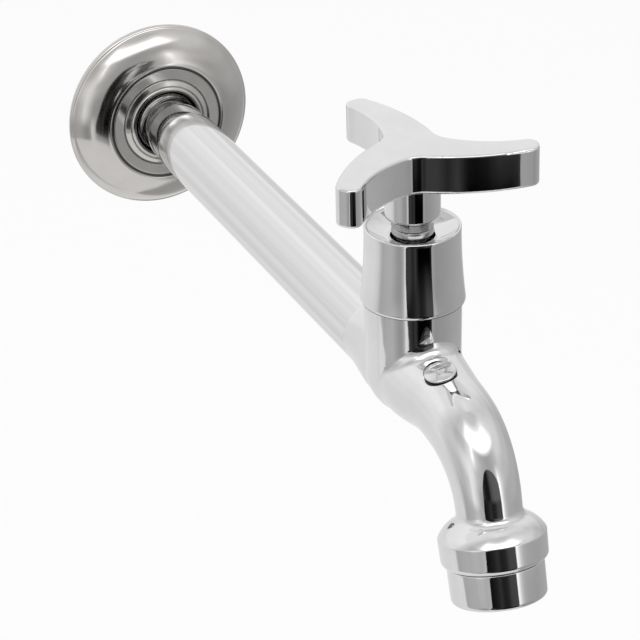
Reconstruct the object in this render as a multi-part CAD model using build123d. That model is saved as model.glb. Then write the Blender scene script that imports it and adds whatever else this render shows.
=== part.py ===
import os
from math import cos, pi, radians, sin, sqrt

from build123d import *

# A wall-mounted kitchen tap in millimetres. The wall is the plane y = 0, the tap stands out
# along -Y, +Z is up, and the supply leg's axis is the line x = 0, z = 0.

# Supply leg, lengths measured from the wall
valve_reach = 196.0           # wall to the valve's axis
pipe_radius = 10.5
pipe_bore_radius = 6.5
thread_radius = 10.48         # G 1/2
thread_length = 14.0          # stands into the wall
shank_radius = 10.3           # plain shank in front of the wall, under the escutcheon
shank_length = 6.5
waist_radius = 8.8            # run-out groove between the thread and the collar
waist_end = 18.0
collar_radius = 9.95
collar_length = 9.0
shoulder_length = 1.4
waist_round = 0.8
spigot_radius = 9.0
spigot_length = 9.0
leg_joint = 24.0              # flush joint of pipe and body, from the valve's axis
pipe_seal_section = 0.9

# Escutcheon, pressed from sheet
escutcheon_radius = 31.0
escutcheon_sheet = 1.0
rim_height = 2.2
lip_width = 1.0               # crest where the plate ends, outside the flat ring
lip_height = 9.5
plate_dome_radius = 26.0
emboss_depth = 0.5            # the two grooves beside the flat ring
emboss_half = 0.3
ring_inner_radius = 14.9
ring_width = 3.5
ring_height = 9.25
ring_crown = 0.08
cone_top_radius = 12.2
cone_drop = 0.2               # the cone's foot under the flat ring
throat_height = 10.3
throat_depth = 3.8
grip_ring_width = 1.5
grip_ring_height = 2.4

# Body and spout
neck_radius = 13.4
neck_draft = 0.25             # the cast neck is narrower by this at its foot
neck_shoulder = 22.2          # height where the bell stands on the neck
collar_thread_radius = 12.0   # M24 x 1, inside the bell
neck_top = 28.0
belly_radius = 12.3
belly_flat = 5.0              # half the length over which the belly keeps its radius
tube_stations = 18
dome_centre = 0.5
neck_fillet = 8.0
spout_run = 16.15             # straight stretch in front of the valve's axis
first_bend_radius = 53.5
first_bend_angle = 14.5
second_bend_radius = 22.5
spout_tail = 16.5             # straight stretch that ends at the outlet's seam
spout_mid_radius = 10.3
spout_mid_reach = 24.0        # along the centre line, from the valve's axis
spout_end_radius = 9.0
outlet_tilt = 15.0            # the outlet leans out from the wall
spout_bore_radius = 5.8

# Waterway round the seat
channel_radius = 4.4
channel_slope = 28.0
channel_meet = 27.0           # where the channel meets the spout's bore, along the centre line
channel_length = 17.5
leg_bore_radius = 6.0         # between the pipe's end and the pocket under the seat
pocket_radius = 6.4
knee_radius = 6.2
septum = 2.6
chamber_radius = 11.4
chamber_roof = 3.9            # metal left under the neck's shoulder

# Outlet boss, heights along the outlet's axis from the seam
boss_radius = 14.8
boss_foot_radius = 14.6
boss_height = 7.5
boss_shoulder = 12.3          # where the rounded top of the boss meets the spout
boss_crown = 0.8              # how far that top bulges out of a plain cone
boss_corner = 0.9
boss_foot_round = 1.6
boss_fillet = 4.0
aerator_thread_radius = 12.0  # M24 x 1
socket_depth = 7.0

# Seat and headwork, heights from the leg's axis
seat_height = 9.0
seat_port_radius = 5.2
seal_height = 2.2
seal_inner_radius = 5.5
seal_step_radius = 6.4
support_wall = 0.8
disc_thickness = 3.2
disc_radius = 7.45
window_height = 2.2
window_angle = 110.0
foot_thickness = 2.4
slide_washer_thickness = 0.8
headwork_thread_radius = 10.48
sleeve_radius = 9.2
sleeve_bore_radius = 7.75
sleeve_lift = 1.0             # the sleeve ends this far above the seat
gasket_thickness = 0.8
flange_thickness = 1.5
flange_radius = 11.6
hexagon_height = 5.0
hexagon_flats = 21.0
shoulder_radius = 8.2
shoulder_cone = 1.8           # height of the cone between shoulder and barrel
barrel_radius = 5.8
barrel_sink = 0.3             # the barrel ends this far under the bell's rim
barrel_length = 2.3
barrel_crown = 0.4
barrel_neck_radius = 5.2
clip_recess = 1.3
clip_thickness = 0.7
clip_radius = 4.8

# Spindle and discs
spindle_radius = 4.0
groove_radius = 2.9
o_ring_section = 0.52
o_ring_heights = (35.5, 38.5)
port_inner_radius = 1.6
port_outer_radius = 5.0
port_angle = 76.0
prong_angle = 22.0
prong_inner_radius = 5.7
lug_angle = 22.0              # lugs that keep the fixed disc from turning
stop_lug_radius = 5.9
stop_lug_height = 2.4
stop_lug_angle = 40.0
stop_lug_start = 20.0
turn_angle = 90.0
stop_spare_angle = 3.0
spline_teeth = 16
spline_depth = 0.5

# Bell over the headwork
bell_headroom = 8.9           # the rim stands this far above the hexagon
bell_rim_radius = 13.25
bell_rim_round = 0.35
bell_foot_radius = 14.4
bell_foot_bevel = 0.2
bell_waist = 0.32             # how far the flare bows inwards
bell_foot_gap = 0.1
bell_thread_height = 5.0
bell_wall = 1.1
bell_hole_radius = 6.1
bell_land_radius = 7.5
bell_dish_depth = 2.9

# Handle, arms drawn for the one that points along +Y
hub_radius = 7.65
hub_lift = 2.7                # hub above the still barrel
hub_height = 10.3
hub_round = 1.3
blade_height = 11.2
arm_count = 3
first_arm_angle = 91.5
arm_root = (8.1, 1.5)
arm_convex_mid = (7.7, 16.7)
arm_tip_right = (1.7, 34.0)
arm_tip_left = (-5.4, 33.2)
arm_concave_mid = (-2.4, 18.3)
arm_root_round = 8.0
arm_tip_round = 2.9
blade_round = 0.7
blade_bottom_round = 1.0
adapter_radius = 5.5
adapter_collar_radius = 5.8
adapter_height = 12.4
screw_radius = 2.0
screw_lift = 6.0              # above the hub's lower face
screw_key_radius = 1.1
screw_key_depth = 1.6

# Small plug on the spout's top
plug_radius = 4.45
plug_edge = 0.5
plug_dome = 1.9
plug_reach = 20.6             # along the centre line, from the valve's axis
plug_lean = 13.0              # turned about the spout's axis, to the left of the top line
plug_stem_radius = 2.6
plug_stem_length = 3.4
plug_seat = 9.2               # height of the flat seat over the spout's axis
plug_washer_thickness = 0.4
plug_recess = 0.4

# Aerator under the boss
aerator_radius = 13.3
aerator_foot_radius = 13.1
aerator_length = 10.5
aerator_round = 1.2
aerator_neck_height = 5.4
aerator_bore_radius = 10.6
aerator_mouth_radius = 9.7
aerator_lip = 1.4
cage_wall = 0.9
cage_ledge = 1.0
screen_thickness = 0.3
screen_spacing = 0.5
mouth_depth = 5.6             # mouth to the lower screen
flow_disc_thickness = 1.2
flow_disc_holes = 12
flow_hole_radius = 0.7
flow_hole_circle = 6.6

# Clearances
thread_clearance = 0.08       # radial, between mating threads drawn plain
running_clearance = 0.07      # radial, a shaft that turns in its bore
seat_clearance = 0.05         # still pieces that seat in one another
throat_clearance = 0.3        # the escutcheon slides over the thread
seam_gap = 0.25               # the dark line between boss and aerator
roof_gap = 0.1                # bell's underside over the headwork's shoulder
spare_gap = 0.4               # between the turning collar and the still barrel

# Worked out from the sizes above
fixed_disc_bottom = seat_height + seal_height
moving_disc_bottom = fixed_disc_bottom + disc_thickness
moving_disc_top = moving_disc_bottom + disc_thickness
foot_bottom = moving_disc_top + window_height
foot_top = foot_bottom + foot_thickness
ledge_height = foot_top + slide_washer_thickness
sleeve_bottom = seat_height + sleeve_lift
headwork_thread_bottom = foot_bottom + 0.6
flange_bottom = neck_top + gasket_thickness
hexagon_bottom = flange_bottom + flange_thickness
hexagon_top = hexagon_bottom + hexagon_height
bell_rim_height = hexagon_top + bell_headroom
bell_dish_bottom = bell_rim_height - bell_dish_depth
bell_roof = bell_dish_bottom - bell_wall
shoulder_top = bell_roof - shoulder_cone - roof_gap
barrel_top = bell_rim_height - barrel_sink
barrel_bottom = barrel_top - barrel_length
clip_bottom = barrel_top - clip_recess + seat_clearance
adapter_bottom = barrel_top + spare_gap
hub_bottom = barrel_top + hub_lift
blade_bottom = hub_bottom + hub_height
blade_top = blade_bottom + blade_height
screw_height = hub_bottom + screw_lift
adapter_top = hub_bottom + adapter_height
spindle_bore_radius = spindle_radius + running_clearance
throat_radius = thread_radius + throat_clearance
ring_outer_radius = ring_inner_radius + ring_width
lip_radius = ring_outer_radius + lip_width
bell_foot = neck_shoulder + bell_foot_gap
pipe_end = valve_reach - leg_joint
half_turn_root = sqrt(0.5)

wall_place = Rot(90, 0, 0)                     # local +Z runs out from the wall
valve_place = Pos(0, -valve_reach, 0)


def spout_line():
    # Centre line of the spout in the plane x = 0, from the valve's axis to the seam.
    run = Line((-valve_reach, 0), (-valve_reach - spout_run, 0))
    first = JernArc(run @ 1, (-1, 0), first_bend_radius, first_bend_angle)
    second = JernArc(first @ 1, first % 1, second_bend_radius, 90.0 - outlet_tilt - first_bend_angle)
    tail = Line(second @ 1, second @ 1 + (second % 1) * spout_tail)
    return Plane.YZ * Wire([run, first, second, tail])


def station(distance):
    # Plane square to the centre line, at a distance along it; negative ones lie behind its start.
    if distance < 0:
        return Plane((0, -valve_reach - distance, 0), (1, 0, 0), (0, -1, 0))
    share = distance / centre_line.length
    return Plane(centre_line.position_at(share), (1, 0, 0), centre_line.tangent_at(share))


centre_line = spout_line()
outlet_place = Pos(centre_line.position_at(1)) * Rot(-outlet_tilt, 0, 0)
plug_place = station(plug_reach).location * Rot(0, 0, plug_lean) * Rot(-90, 0, 0)


def outline(*points):
    # Closed straight-sided outline.
    ends = points[1:] + points[:1]
    return [Line(a, b) for a, b in zip(points, ends)]


def turned(*edges):
    # A turned piece from its closed half outline of radius and height.
    return revolve(Plane.XZ * make_face(list(edges)), Axis.Z)


def ring(inner, outer, bottom, top):
    return turned(*outline((inner, bottom), (outer, bottom), (outer, top), (inner, top)))


def disc(radius, bottom, top):
    return Pos(0, 0, bottom) * Cylinder(radius, top - bottom, align=(Align.CENTER, Align.CENTER, Align.MIN))


def on_circle(radius, angle):
    return (radius * cos(radians(angle)), radius * sin(radians(angle)))


def sector(inner, outer, middle, angle, bottom, top):
    # Part of a ring, centred on the direction middle in degrees.
    start = middle - angle / 2
    end = middle + angle / 2
    edges = [
        Line(on_circle(inner, start), on_circle(outer, start)),
        ThreePointArc(on_circle(outer, start), on_circle(outer, middle), on_circle(outer, end)),
        Line(on_circle(outer, end), on_circle(inner, end)),
        ThreePointArc(on_circle(inner, end), on_circle(inner, middle), on_circle(inner, start)),
    ]
    return Pos(0, 0, bottom) * extrude(make_face(edges), top - bottom)


def spline_bar(clearance, bottom, top):
    # Toothed bar that the handle's adapter slides over.
    tip = spindle_radius - 0.05 + clearance
    root = spindle_radius - 0.05 - spline_depth + clearance
    step = 180.0 / spline_teeth
    points = [on_circle(tip if k % 2 else root, k * step) for k in range(2 * spline_teeth)]
    return Pos(0, 0, bottom) * extrude(make_face(outline(*points)), top - bottom)


def round_edges(piece, radius, amount):
    # Rounds the whole circles of one radius.
    return fillet(piece.edges().filter_by(lambda e: abs(e.length - 2 * pi * radius) < 0.01), amount)


def inlet_pipe():
    collar_end = waist_end + collar_length
    bevel = thread_radius - waist_radius
    step = shank_radius - waist_radius
    pipe = turned(*outline(
        (pipe_bore_radius, -thread_length),
        (waist_radius, -thread_length),
        (thread_radius, bevel - thread_length),
        (thread_radius, 0),
        (shank_radius, 0),
        (shank_radius, shank_length),
        (waist_radius, shank_length + step),
        (waist_radius, waist_end),
        (collar_radius, waist_end),
        (collar_radius, collar_end),
        (pipe_radius, collar_end + shoulder_length),
        (pipe_radius, pipe_end),
        (spigot_radius, pipe_end),
        (spigot_radius, pipe_end + spigot_length),
        (pipe_bore_radius, pipe_end + spigot_length),
    ))
    waist_edges = pipe.edges().filter_by(GeomType.CIRCLE).filter_by(
        lambda e: abs(e.radius - waist_radius) < 0.01 and e.center().Z > shank_length
    )
    pipe = fillet(waist_edges, waist_round)
    pipe = round_edges(pipe, collar_radius, waist_round / 2)
    return wall_place * pipe


def pipe_seal():
    # O-ring behind the spigot, at the bottom of the body's socket.
    middle = spigot_radius - pipe_seal_section
    height = pipe_end + spigot_length + pipe_seal_section
    return wall_place * Pos(0, 0, height) * Torus(middle, pipe_seal_section - seat_clearance)


def escutcheon():
    sheet = escutcheon_sheet
    rim = escutcheon_radius - 0.8
    crown = lip_height - 0.15
    lip_outer = lip_radius + 0.6
    lip_inner = ring_outer_radius + 2 * emboss_half
    groove = ring_height - emboss_depth
    ring_middle = (ring_outer_radius + ring_inner_radius) / 2
    cone_foot = ring_inner_radius - 2 * emboss_half
    cone_bottom = ring_height - cone_drop
    cone_top = throat_height - 0.3
    cone_middle = ((cone_foot + cone_top_radius) / 2, (cone_bottom + cone_top) / 2 + ring_crown)
    front = [
        Line((escutcheon_radius - 0.5, 0), (escutcheon_radius, rim_height - 0.8)),
        RadiusArc((escutcheon_radius, rim_height - 0.8), (rim, rim_height + 0.4), -1.4),
        RadiusArc((rim, rim_height + 0.4), (lip_outer, crown), -plate_dome_radius),
        ThreePointArc((lip_outer, crown), (lip_radius, lip_height), (lip_inner, crown)),
        Line((lip_inner, crown), (lip_inner - emboss_half, groove)),
        Line((lip_inner - emboss_half, groove), (ring_outer_radius, ring_height)),
        ThreePointArc(
            (ring_outer_radius, ring_height),
            (ring_middle, ring_height + ring_crown),
            (ring_inner_radius, ring_height),
        ),
        Line((ring_inner_radius, ring_height), (ring_inner_radius - emboss_half, groove)),
        Line((ring_inner_radius - emboss_half, groove), (cone_foot, cone_bottom)),
        ThreePointArc((cone_foot, cone_bottom), cone_middle, (cone_top_radius, cone_top)),
        ThreePointArc(
            (cone_top_radius, cone_top),
            (throat_radius + 0.7, throat_height),
            (throat_radius, throat_height - 0.5),
        ),
        Line((throat_radius, throat_height - 0.5), (throat_radius, throat_height - throat_depth)),
    ]
    throat_outer = throat_radius + sheet
    back_points = [
        (throat_radius, throat_height - throat_depth),
        (throat_outer, throat_height - throat_depth),
        (throat_outer, cone_top - 1.3 * sheet),
        (cone_foot, cone_bottom - 1.2 * sheet),
        (ring_inner_radius, groove - 0.8 * sheet),
        (ring_outer_radius + emboss_half, groove - 0.8 * sheet),
        (lip_outer - 0.5, crown - 1.1 * sheet),
    ]
    back = [Line(a, b) for a, b in zip(back_points, back_points[1:])]
    back += [
        RadiusArc(back_points[-1], (rim - sheet, rim_height - 0.5), plate_dome_radius),
        Line((rim - sheet, rim_height - 0.5), (escutcheon_radius - 0.5 - sheet, 0)),
        Line((escutcheon_radius - 0.5 - sheet, 0), (escutcheon_radius - 0.5, 0)),
    ]
    return wall_place * turned(*front, *back)


def escutcheon_grip_ring():
    # Rubber ring on the shank, behind the turned-in throat.
    inner = shank_radius + seat_clearance
    top = min(throat_height - throat_depth, shank_length) - seat_clearance
    return wall_place * ring(inner, inner + grip_ring_width, top - grip_ring_height, top)


def tube_radius(distance):
    # The leg swells to the belly, then the spout thins in two smooth steps.
    steps = [
        (-leg_joint, pipe_radius, -belly_flat, belly_radius),
        (belly_flat, belly_radius, spout_mid_reach, spout_mid_radius),
        (spout_mid_reach, spout_mid_radius, centre_line.length - boss_shoulder, spout_end_radius),
    ]
    radius = pipe_radius
    for start, first, end, last in steps:
        share = min(1.0, max(0.0, (distance - start) / (end - start)))
        radius += (last - first) * share * share * (3 - 2 * share)
    return radius


def body_outside():
    # Leg, belly and spout in one swept form, the upright neck with its round foot, and the boss.
    reach = centre_line.length - boss_shoulder + leg_joint
    distances = [reach * k / tube_stations - leg_joint for k in range(tube_stations + 1)]
    tube = loft([station(distance) * Circle(tube_radius(distance)) for distance in distances])
    foot_radius = neck_radius - neck_draft
    dome_foot = dome_centre - foot_radius
    dome_side = (foot_radius * half_turn_root, dome_centre - foot_radius * half_turn_root)
    neck = valve_place * turned(
        Line((0, dome_foot), (0, neck_shoulder)),
        Line((0, neck_shoulder), (neck_radius, neck_shoulder)),
        Line((neck_radius, neck_shoulder), (foot_radius, dome_centre)),
        ThreePointArc((foot_radius, dome_centre), dome_side, (0, dome_foot)),
    )
    joined = tube + neck
    joined = fillet(new_edges(tube, neck, combined=joined), neck_fillet)
    slope = Vector(boss_radius - spout_end_radius, boss_shoulder - boss_height).normalized()
    crown = (
        (boss_radius + spout_end_radius) / 2 + boss_crown * slope.Y,
        (boss_height + boss_shoulder) / 2 + boss_crown * slope.X,
    )
    boss = outlet_place * turned(
        Line((0, 0), (boss_foot_radius, 0)),
        Line((boss_foot_radius, 0), (boss_radius, boss_height)),
        ThreePointArc((boss_radius, boss_height), crown, (spout_end_radius, boss_shoulder)),
        Line((spout_end_radius, boss_shoulder), (0, boss_shoulder)),
        Line((0, boss_shoulder), (0, 0)),
    )
    boss = round_edges(boss, boss_radius, boss_corner)
    boss = round_edges(boss, boss_foot_radius, boss_foot_round)
    return round_edges(joined + boss, spout_end_radius, boss_fillet)


def waterway():
    # Everything that is hollow in the body, as one set of tools.
    leg = wall_place * disc(spigot_radius + seat_clearance, pipe_end, pipe_end + spigot_length + 2 * pipe_seal_section)
    leg += wall_place * disc(leg_bore_radius, pipe_end, valve_reach)
    pocket_top = seat_height - septum
    pocket = valve_place * disc(pocket_radius, -pocket_radius, pocket_top)
    port = valve_place * disc(seat_port_radius, pocket_top - 1.0, seat_height)
    chamber_top = neck_shoulder - chamber_roof
    chamber = valve_place * disc(chamber_radius, seat_height, chamber_top)
    screw_bore = valve_place * disc(headwork_thread_radius + thread_clearance, seat_height, neck_top)
    meet = station(channel_meet).origin
    slope = radians(channel_slope)
    channel_axis = Plane(meet, (1, 0, 0), (0, cos(slope), sin(slope)))
    channel = channel_axis * disc(channel_radius, 0, channel_length)
    knee = Pos(meet) * Sphere(knee_radius)
    rest = centre_line.length - channel_meet - socket_depth / 2
    bore = loft([station(channel_meet + rest * k / 6) * Circle(spout_bore_radius) for k in range(7)])
    socket = outlet_place * disc(aerator_thread_radius + thread_clearance, 0, socket_depth)
    plug_hole = plug_place * disc(plug_stem_radius + thread_clearance, 0, plug_seat)
    plug_pocket = plug_place * disc(plug_radius + plug_recess, plug_seat, plug_seat + plug_radius)
    return [leg, pocket, port, chamber, screw_bore, channel, knee, bore, socket, plug_hole, plug_pocket]


def valve_body():
    body = body_outside()
    body += valve_place * disc(collar_thread_radius, neck_shoulder - 1.0, neck_top)
    for tool in waterway():
        body -= tool
    return body


def channel_plug():
    foot = plug_seat - plug_stem_length
    base = plug_seat + plug_washer_thickness
    edge = base + plug_edge
    dome_radius = (plug_radius ** 2 + plug_dome ** 2) / (2 * plug_dome)
    plug = turned(
        Line((0, foot), (plug_stem_radius, foot)),
        Line((plug_stem_radius, foot), (plug_stem_radius, base)),
        Line((plug_stem_radius, base), (plug_radius, base)),
        Line((plug_radius, base), (plug_radius, edge)),
        RadiusArc((plug_radius, edge), (0, edge + plug_dome), -dome_radius),
        Line((0, edge + plug_dome), (0, foot)),
    )
    return plug_place * plug


def plug_washer():
    return plug_place * ring(plug_stem_radius + seat_clearance, plug_radius, plug_seat, plug_seat + plug_washer_thickness)


def bonnet_cover():
    inner_foot = bell_foot_radius - bell_wall
    inner_rim = bell_rim_radius - bell_wall
    thread_bore = collar_thread_radius + thread_clearance
    thread_top = bell_foot + bell_thread_height
    bevel_top = bell_foot + bell_foot_bevel
    middle_height = (bevel_top + bell_rim_height) / 2
    middle_radius = (bell_foot_radius + bell_rim_radius) / 2 - bell_waist
    rim_inside = bell_rim_radius - 2 * bell_rim_round
    dish_middle = ((rim_inside + bell_land_radius) / 2, bell_dish_bottom + bell_dish_depth * 0.36)
    bell = turned(
        Line((thread_bore, bell_foot), (bell_foot_radius - bell_foot_bevel, bell_foot)),
        Line((bell_foot_radius - bell_foot_bevel, bell_foot), (bell_foot_radius, bevel_top)),
        ThreePointArc(
            (bell_foot_radius, bevel_top),
            (middle_radius, middle_height),
            (bell_rim_radius, bell_rim_height - bell_rim_round),
        ),
        ThreePointArc(
            (bell_rim_radius, bell_rim_height - bell_rim_round),
            (bell_rim_radius - bell_rim_round, bell_rim_height),
            (rim_inside, bell_rim_height - bell_rim_round),
        ),
        ThreePointArc((rim_inside, bell_rim_height - bell_rim_round), dish_middle, (bell_land_radius, bell_dish_bottom)),
        Line((bell_land_radius, bell_dish_bottom), (bell_hole_radius, bell_dish_bottom - 0.1)),
        Line((bell_hole_radius, bell_dish_bottom - 0.1), (bell_hole_radius, bell_roof)),
        Line((bell_hole_radius, bell_roof), (inner_rim - 1.5, bell_roof)),
        Line((inner_rim - 1.5, bell_roof), (inner_rim, bell_roof - 1.5)),
        Line((inner_rim, bell_roof - 1.5), (inner_foot - bell_waist, thread_top + 1.0)),
        Line((inner_foot - bell_waist, thread_top + 1.0), (thread_bore, thread_top)),
        Line((thread_bore, thread_top), (thread_bore, bell_foot)),
    )
    return valve_place * bell


def headwork_housing():
    crown = barrel_radius - barrel_crown
    lip = barrel_top - clip_recess
    housing = turned(
        Line((sleeve_bore_radius, sleeve_bottom), (sleeve_radius, sleeve_bottom)),
        Line((sleeve_radius, sleeve_bottom), (sleeve_radius, headwork_thread_bottom)),
        Line((sleeve_radius, headwork_thread_bottom), (headwork_thread_radius, headwork_thread_bottom + 1.0)),
        Line((headwork_thread_radius, headwork_thread_bottom + 1.0), (headwork_thread_radius, flange_bottom)),
        Line((headwork_thread_radius, flange_bottom), (flange_radius, flange_bottom)),
        Line((flange_radius, flange_bottom), (flange_radius, hexagon_bottom)),
        Line((flange_radius, hexagon_bottom), (shoulder_radius, hexagon_bottom)),
        Line((shoulder_radius, hexagon_bottom), (shoulder_radius, shoulder_top)),
        Line((shoulder_radius, shoulder_top), (barrel_neck_radius, shoulder_top + shoulder_cone)),
        Line((barrel_neck_radius, shoulder_top + shoulder_cone), (barrel_neck_radius, barrel_bottom)),
        Line((barrel_neck_radius, barrel_bottom), (crown, barrel_bottom)),
        ThreePointArc((crown, barrel_bottom), (barrel_radius, (barrel_bottom + barrel_top) / 2), (crown, barrel_top)),
        Line((crown, barrel_top), (clip_radius + 0.1, barrel_top)),
        Line((clip_radius + 0.1, barrel_top), (clip_radius + 0.1, lip)),
        Line((clip_radius + 0.1, lip), (spindle_bore_radius, lip)),
        Line((spindle_bore_radius, lip), (spindle_bore_radius, ledge_height)),
        Line((spindle_bore_radius, ledge_height), (sleeve_bore_radius, ledge_height)),
        Line((sleeve_bore_radius, ledge_height), (sleeve_bore_radius, sleeve_bottom)),
    )
    hexagon = extrude(RegularPolygon(hexagon_flats / 2, 6, major_radius=False), hexagon_height)
    housing += Pos(0, 0, hexagon_bottom) * hexagon - disc(shoulder_radius - 1.0, hexagon_bottom, hexagon_top)
    for side in (0, 180):
        window = sector(sleeve_bore_radius - 1, sleeve_radius + 1, side, window_angle, moving_disc_top, foot_bottom)
        slot = sector(
            sleeve_bore_radius - 1,
            sleeve_radius + 1,
            side + 90,
            lug_angle + 2.0,
            sleeve_bottom - 1,
            moving_disc_bottom + seat_clearance,
        )
        housing = housing - window - slot
    recess_angle = stop_lug_angle + turn_angle + 2 * stop_spare_angle
    recess_middle = stop_lug_start + turn_angle / 2
    housing -= sector(
        spindle_bore_radius - 0.5,
        stop_lug_radius + 0.3,
        recess_middle,
        recess_angle,
        ledge_height - 0.5,
        ledge_height + stop_lug_height + 0.2,
    )
    return valve_place * housing


def headwork_gasket():
    return valve_place * ring(headwork_thread_radius + seat_clearance, flange_radius, neck_top, flange_bottom)


def spindle():
    body = disc(disc_radius, foot_bottom, foot_top)
    body += disc(spindle_radius, foot_top, adapter_bottom + 0.4)
    body += spline_bar(0, adapter_bottom + 0.4, adapter_top - 0.6)
    for side in (0, 180):
        body += sector(
            prong_inner_radius,
            disc_radius,
            side,
            prong_angle,
            moving_disc_bottom + 1.0,
            foot_bottom,
        )
    lug_top = ledge_height + stop_lug_height
    body += sector(spindle_radius - 1, stop_lug_radius, stop_lug_start, stop_lug_angle, foot_top, lug_top)
    groove_half = o_ring_section + seat_clearance
    for height in o_ring_heights:
        body -= ring(groove_radius, spindle_radius + 1, height - groove_half, height + groove_half)
    clip_top = clip_bottom + clip_thickness
    body -= ring(spindle_radius - 0.7, spindle_radius + 1, clip_bottom - seat_clearance, clip_top + seat_clearance)
    return valve_place * body


def spindle_o_rings():
    # Two rubber rings, one solid each.
    middle = groove_radius + o_ring_section + seat_clearance / 2
    rings = [Pos(0, 0, height) * Torus(middle, o_ring_section) for height in o_ring_heights]
    return valve_place * Compound(children=rings)


def spindle_clip():
    # Snap ring in the spindle's top groove, open on one side.
    clip = ring(spindle_radius - 0.7 + seat_clearance, clip_radius, clip_bottom, clip_bottom + clip_thickness)
    opening = sector(spindle_radius - 2, clip_radius + 1, 270, 50, clip_bottom - 1, clip_bottom + 2)
    return valve_place * (clip - opening)


def slide_washer():
    inner = stop_lug_radius + 0.2
    return valve_place * ring(inner, sleeve_bore_radius - seat_clearance, foot_top, ledge_height)


def moving_disc():
    plate = disc(disc_radius, moving_disc_bottom, moving_disc_top)
    for side in (0, 180):
        plate -= sector(
            port_inner_radius,
            port_outer_radius,
            side + 90,
            port_angle,
            moving_disc_bottom - 1,
            moving_disc_top + 1,
        )
        plate -= sector(
            prong_inner_radius - 0.2,
            disc_radius + 1,
            side,
            prong_angle + 2.0,
            moving_disc_bottom - 1,
            moving_disc_top + 1,
        )
    return valve_place * plate


def fixed_disc():
    # Its two lugs stand in the housing's slots; the ports are shut while the tap is closed.
    plate = disc(disc_radius, fixed_disc_bottom, moving_disc_bottom)
    for side in (0, 180):
        plate += sector(
            disc_radius - 1,
            sleeve_radius - 0.1,
            side + 90,
            lug_angle,
            fixed_disc_bottom,
            moving_disc_bottom,
        )
        plate -= sector(
            port_inner_radius,
            port_outer_radius,
            side,
            port_angle,
            fixed_disc_bottom - 1,
            moving_disc_bottom + 1,
        )
    return valve_place * plate


def seat_seal():
    # Rubber seal between the fixed disc and the seat, with a step for its steel ring.
    step = fixed_disc_bottom - 1.5
    return valve_place * turned(*outline(
        (seal_inner_radius, seat_height),
        (disc_radius, seat_height),
        (disc_radius, fixed_disc_bottom),
        (seal_step_radius, fixed_disc_bottom),
        (seal_step_radius, step),
        (seal_inner_radius, step),
    ))


def seal_support_ring():
    outer = seal_step_radius - seat_clearance
    bottom = fixed_disc_bottom - 1.5
    return valve_place * ring(outer - support_wall, outer, bottom, fixed_disc_bottom)


def spline_adapter():
    adapter = disc(adapter_collar_radius, adapter_bottom, hub_bottom)
    adapter += disc(adapter_radius, hub_bottom, adapter_top)
    adapter -= spline_bar(seat_clearance, adapter_bottom - 1, adapter_top + 1)
    adapter -= disc(spindle_radius + seat_clearance, adapter_bottom - 1, adapter_bottom + 0.4 + seat_clearance)
    adapter -= screw_hole()
    return valve_place * adapter


def screw_direction():
    # The screw enters the hub from the wall's side.
    return Pos(0, 0, screw_height) * Rot(-90, 0, 0)


def screw_hole():
    return screw_direction() * disc(screw_radius + thread_clearance, 0, hub_radius + 2)


def handle_screw():
    # Headless screw that presses on the spindle's teeth.
    inner = spindle_radius + seat_clearance
    outer = hub_radius - 0.5
    screw = disc(screw_radius, inner, outer)
    key = extrude(RegularPolygon(screw_key_radius, 6), screw_key_depth)
    screw -= Pos(0, 0, outer - screw_key_depth) * key
    return valve_place * screw_direction() * screw


def turn_point(point, angle):
    x, y = point
    a = radians(angle)
    return (x * cos(a) - y * sin(a), x * sin(a) + y * cos(a))


def blade_outline():
    # The same bent arm, turned round the hub; arms meet in the root points.
    step = 360.0 / arm_count
    edges = []
    for k in range(arm_count):
        angle = first_arm_angle - 90 - k * step
        root = turn_point(arm_root, angle)
        last_root = turn_point(arm_root, angle + step)
        left = turn_point(arm_tip_left, angle)
        right = turn_point(arm_tip_right, angle)
        edges.append(ThreePointArc(last_root, turn_point(arm_concave_mid, angle), left))
        edges.append(Line(left, right))
        edges.append(ThreePointArc(right, turn_point(arm_convex_mid, angle), root))
    face = make_face(edges)
    roots = face.vertices().filter_by(lambda v: Vector(v).length < 2 * hub_radius)
    face = fillet(roots, arm_root_round)
    tips = face.vertices().filter_by(lambda v: Vector(v).length > 0.9 * Vector(arm_tip_left).length)
    return fillet(tips, arm_tip_round)


def handle():
    blades = extrude(blade_outline(), blade_top - blade_bottom)
    blades = fillet(blades.edges().group_by(Axis.Z)[-1], blade_round)
    blades = Pos(0, 0, blade_bottom) * fillet(blades.edges().group_by(Axis.Z)[0], blade_bottom_round)
    hub = disc(hub_radius, hub_bottom, blade_bottom + blade_bottom_round)
    hub = fillet(hub.edges().filter_by(GeomType.CIRCLE).sort_by(Axis.Z)[0], hub_round)
    whole = blades + hub
    whole -= disc(adapter_radius + seat_clearance, hub_bottom - 1, adapter_top + 0.3)
    whole -= screw_hole()
    return valve_place * whole


def aerator_housing():
    neck = aerator_thread_radius - thread_clearance
    foot = -aerator_length
    housing = turned(
        Line((aerator_bore_radius, aerator_neck_height), (neck, aerator_neck_height)),
        Line((neck, aerator_neck_height), (neck, -seam_gap)),
        Line((neck, -seam_gap), (aerator_radius, -seam_gap)),
        Line((aerator_radius, -seam_gap), (aerator_foot_radius, foot + aerator_round)),
        RadiusArc((aerator_foot_radius, foot + aerator_round), (aerator_foot_radius - aerator_round, foot), aerator_round),
        Line((aerator_foot_radius - aerator_round, foot), (aerator_mouth_radius, foot)),
        Line((aerator_mouth_radius, foot), (aerator_mouth_radius, foot + aerator_lip)),
        Line((aerator_mouth_radius, foot + aerator_lip), (aerator_bore_radius, foot + aerator_lip)),
        Line((aerator_bore_radius, foot + aerator_lip), (aerator_bore_radius, aerator_neck_height)),
    )
    return outlet_place * housing


def aerator_gasket():
    return outlet_place * ring(spout_bore_radius + 1, aerator_thread_radius - 0.3, aerator_neck_height, socket_depth)


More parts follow.
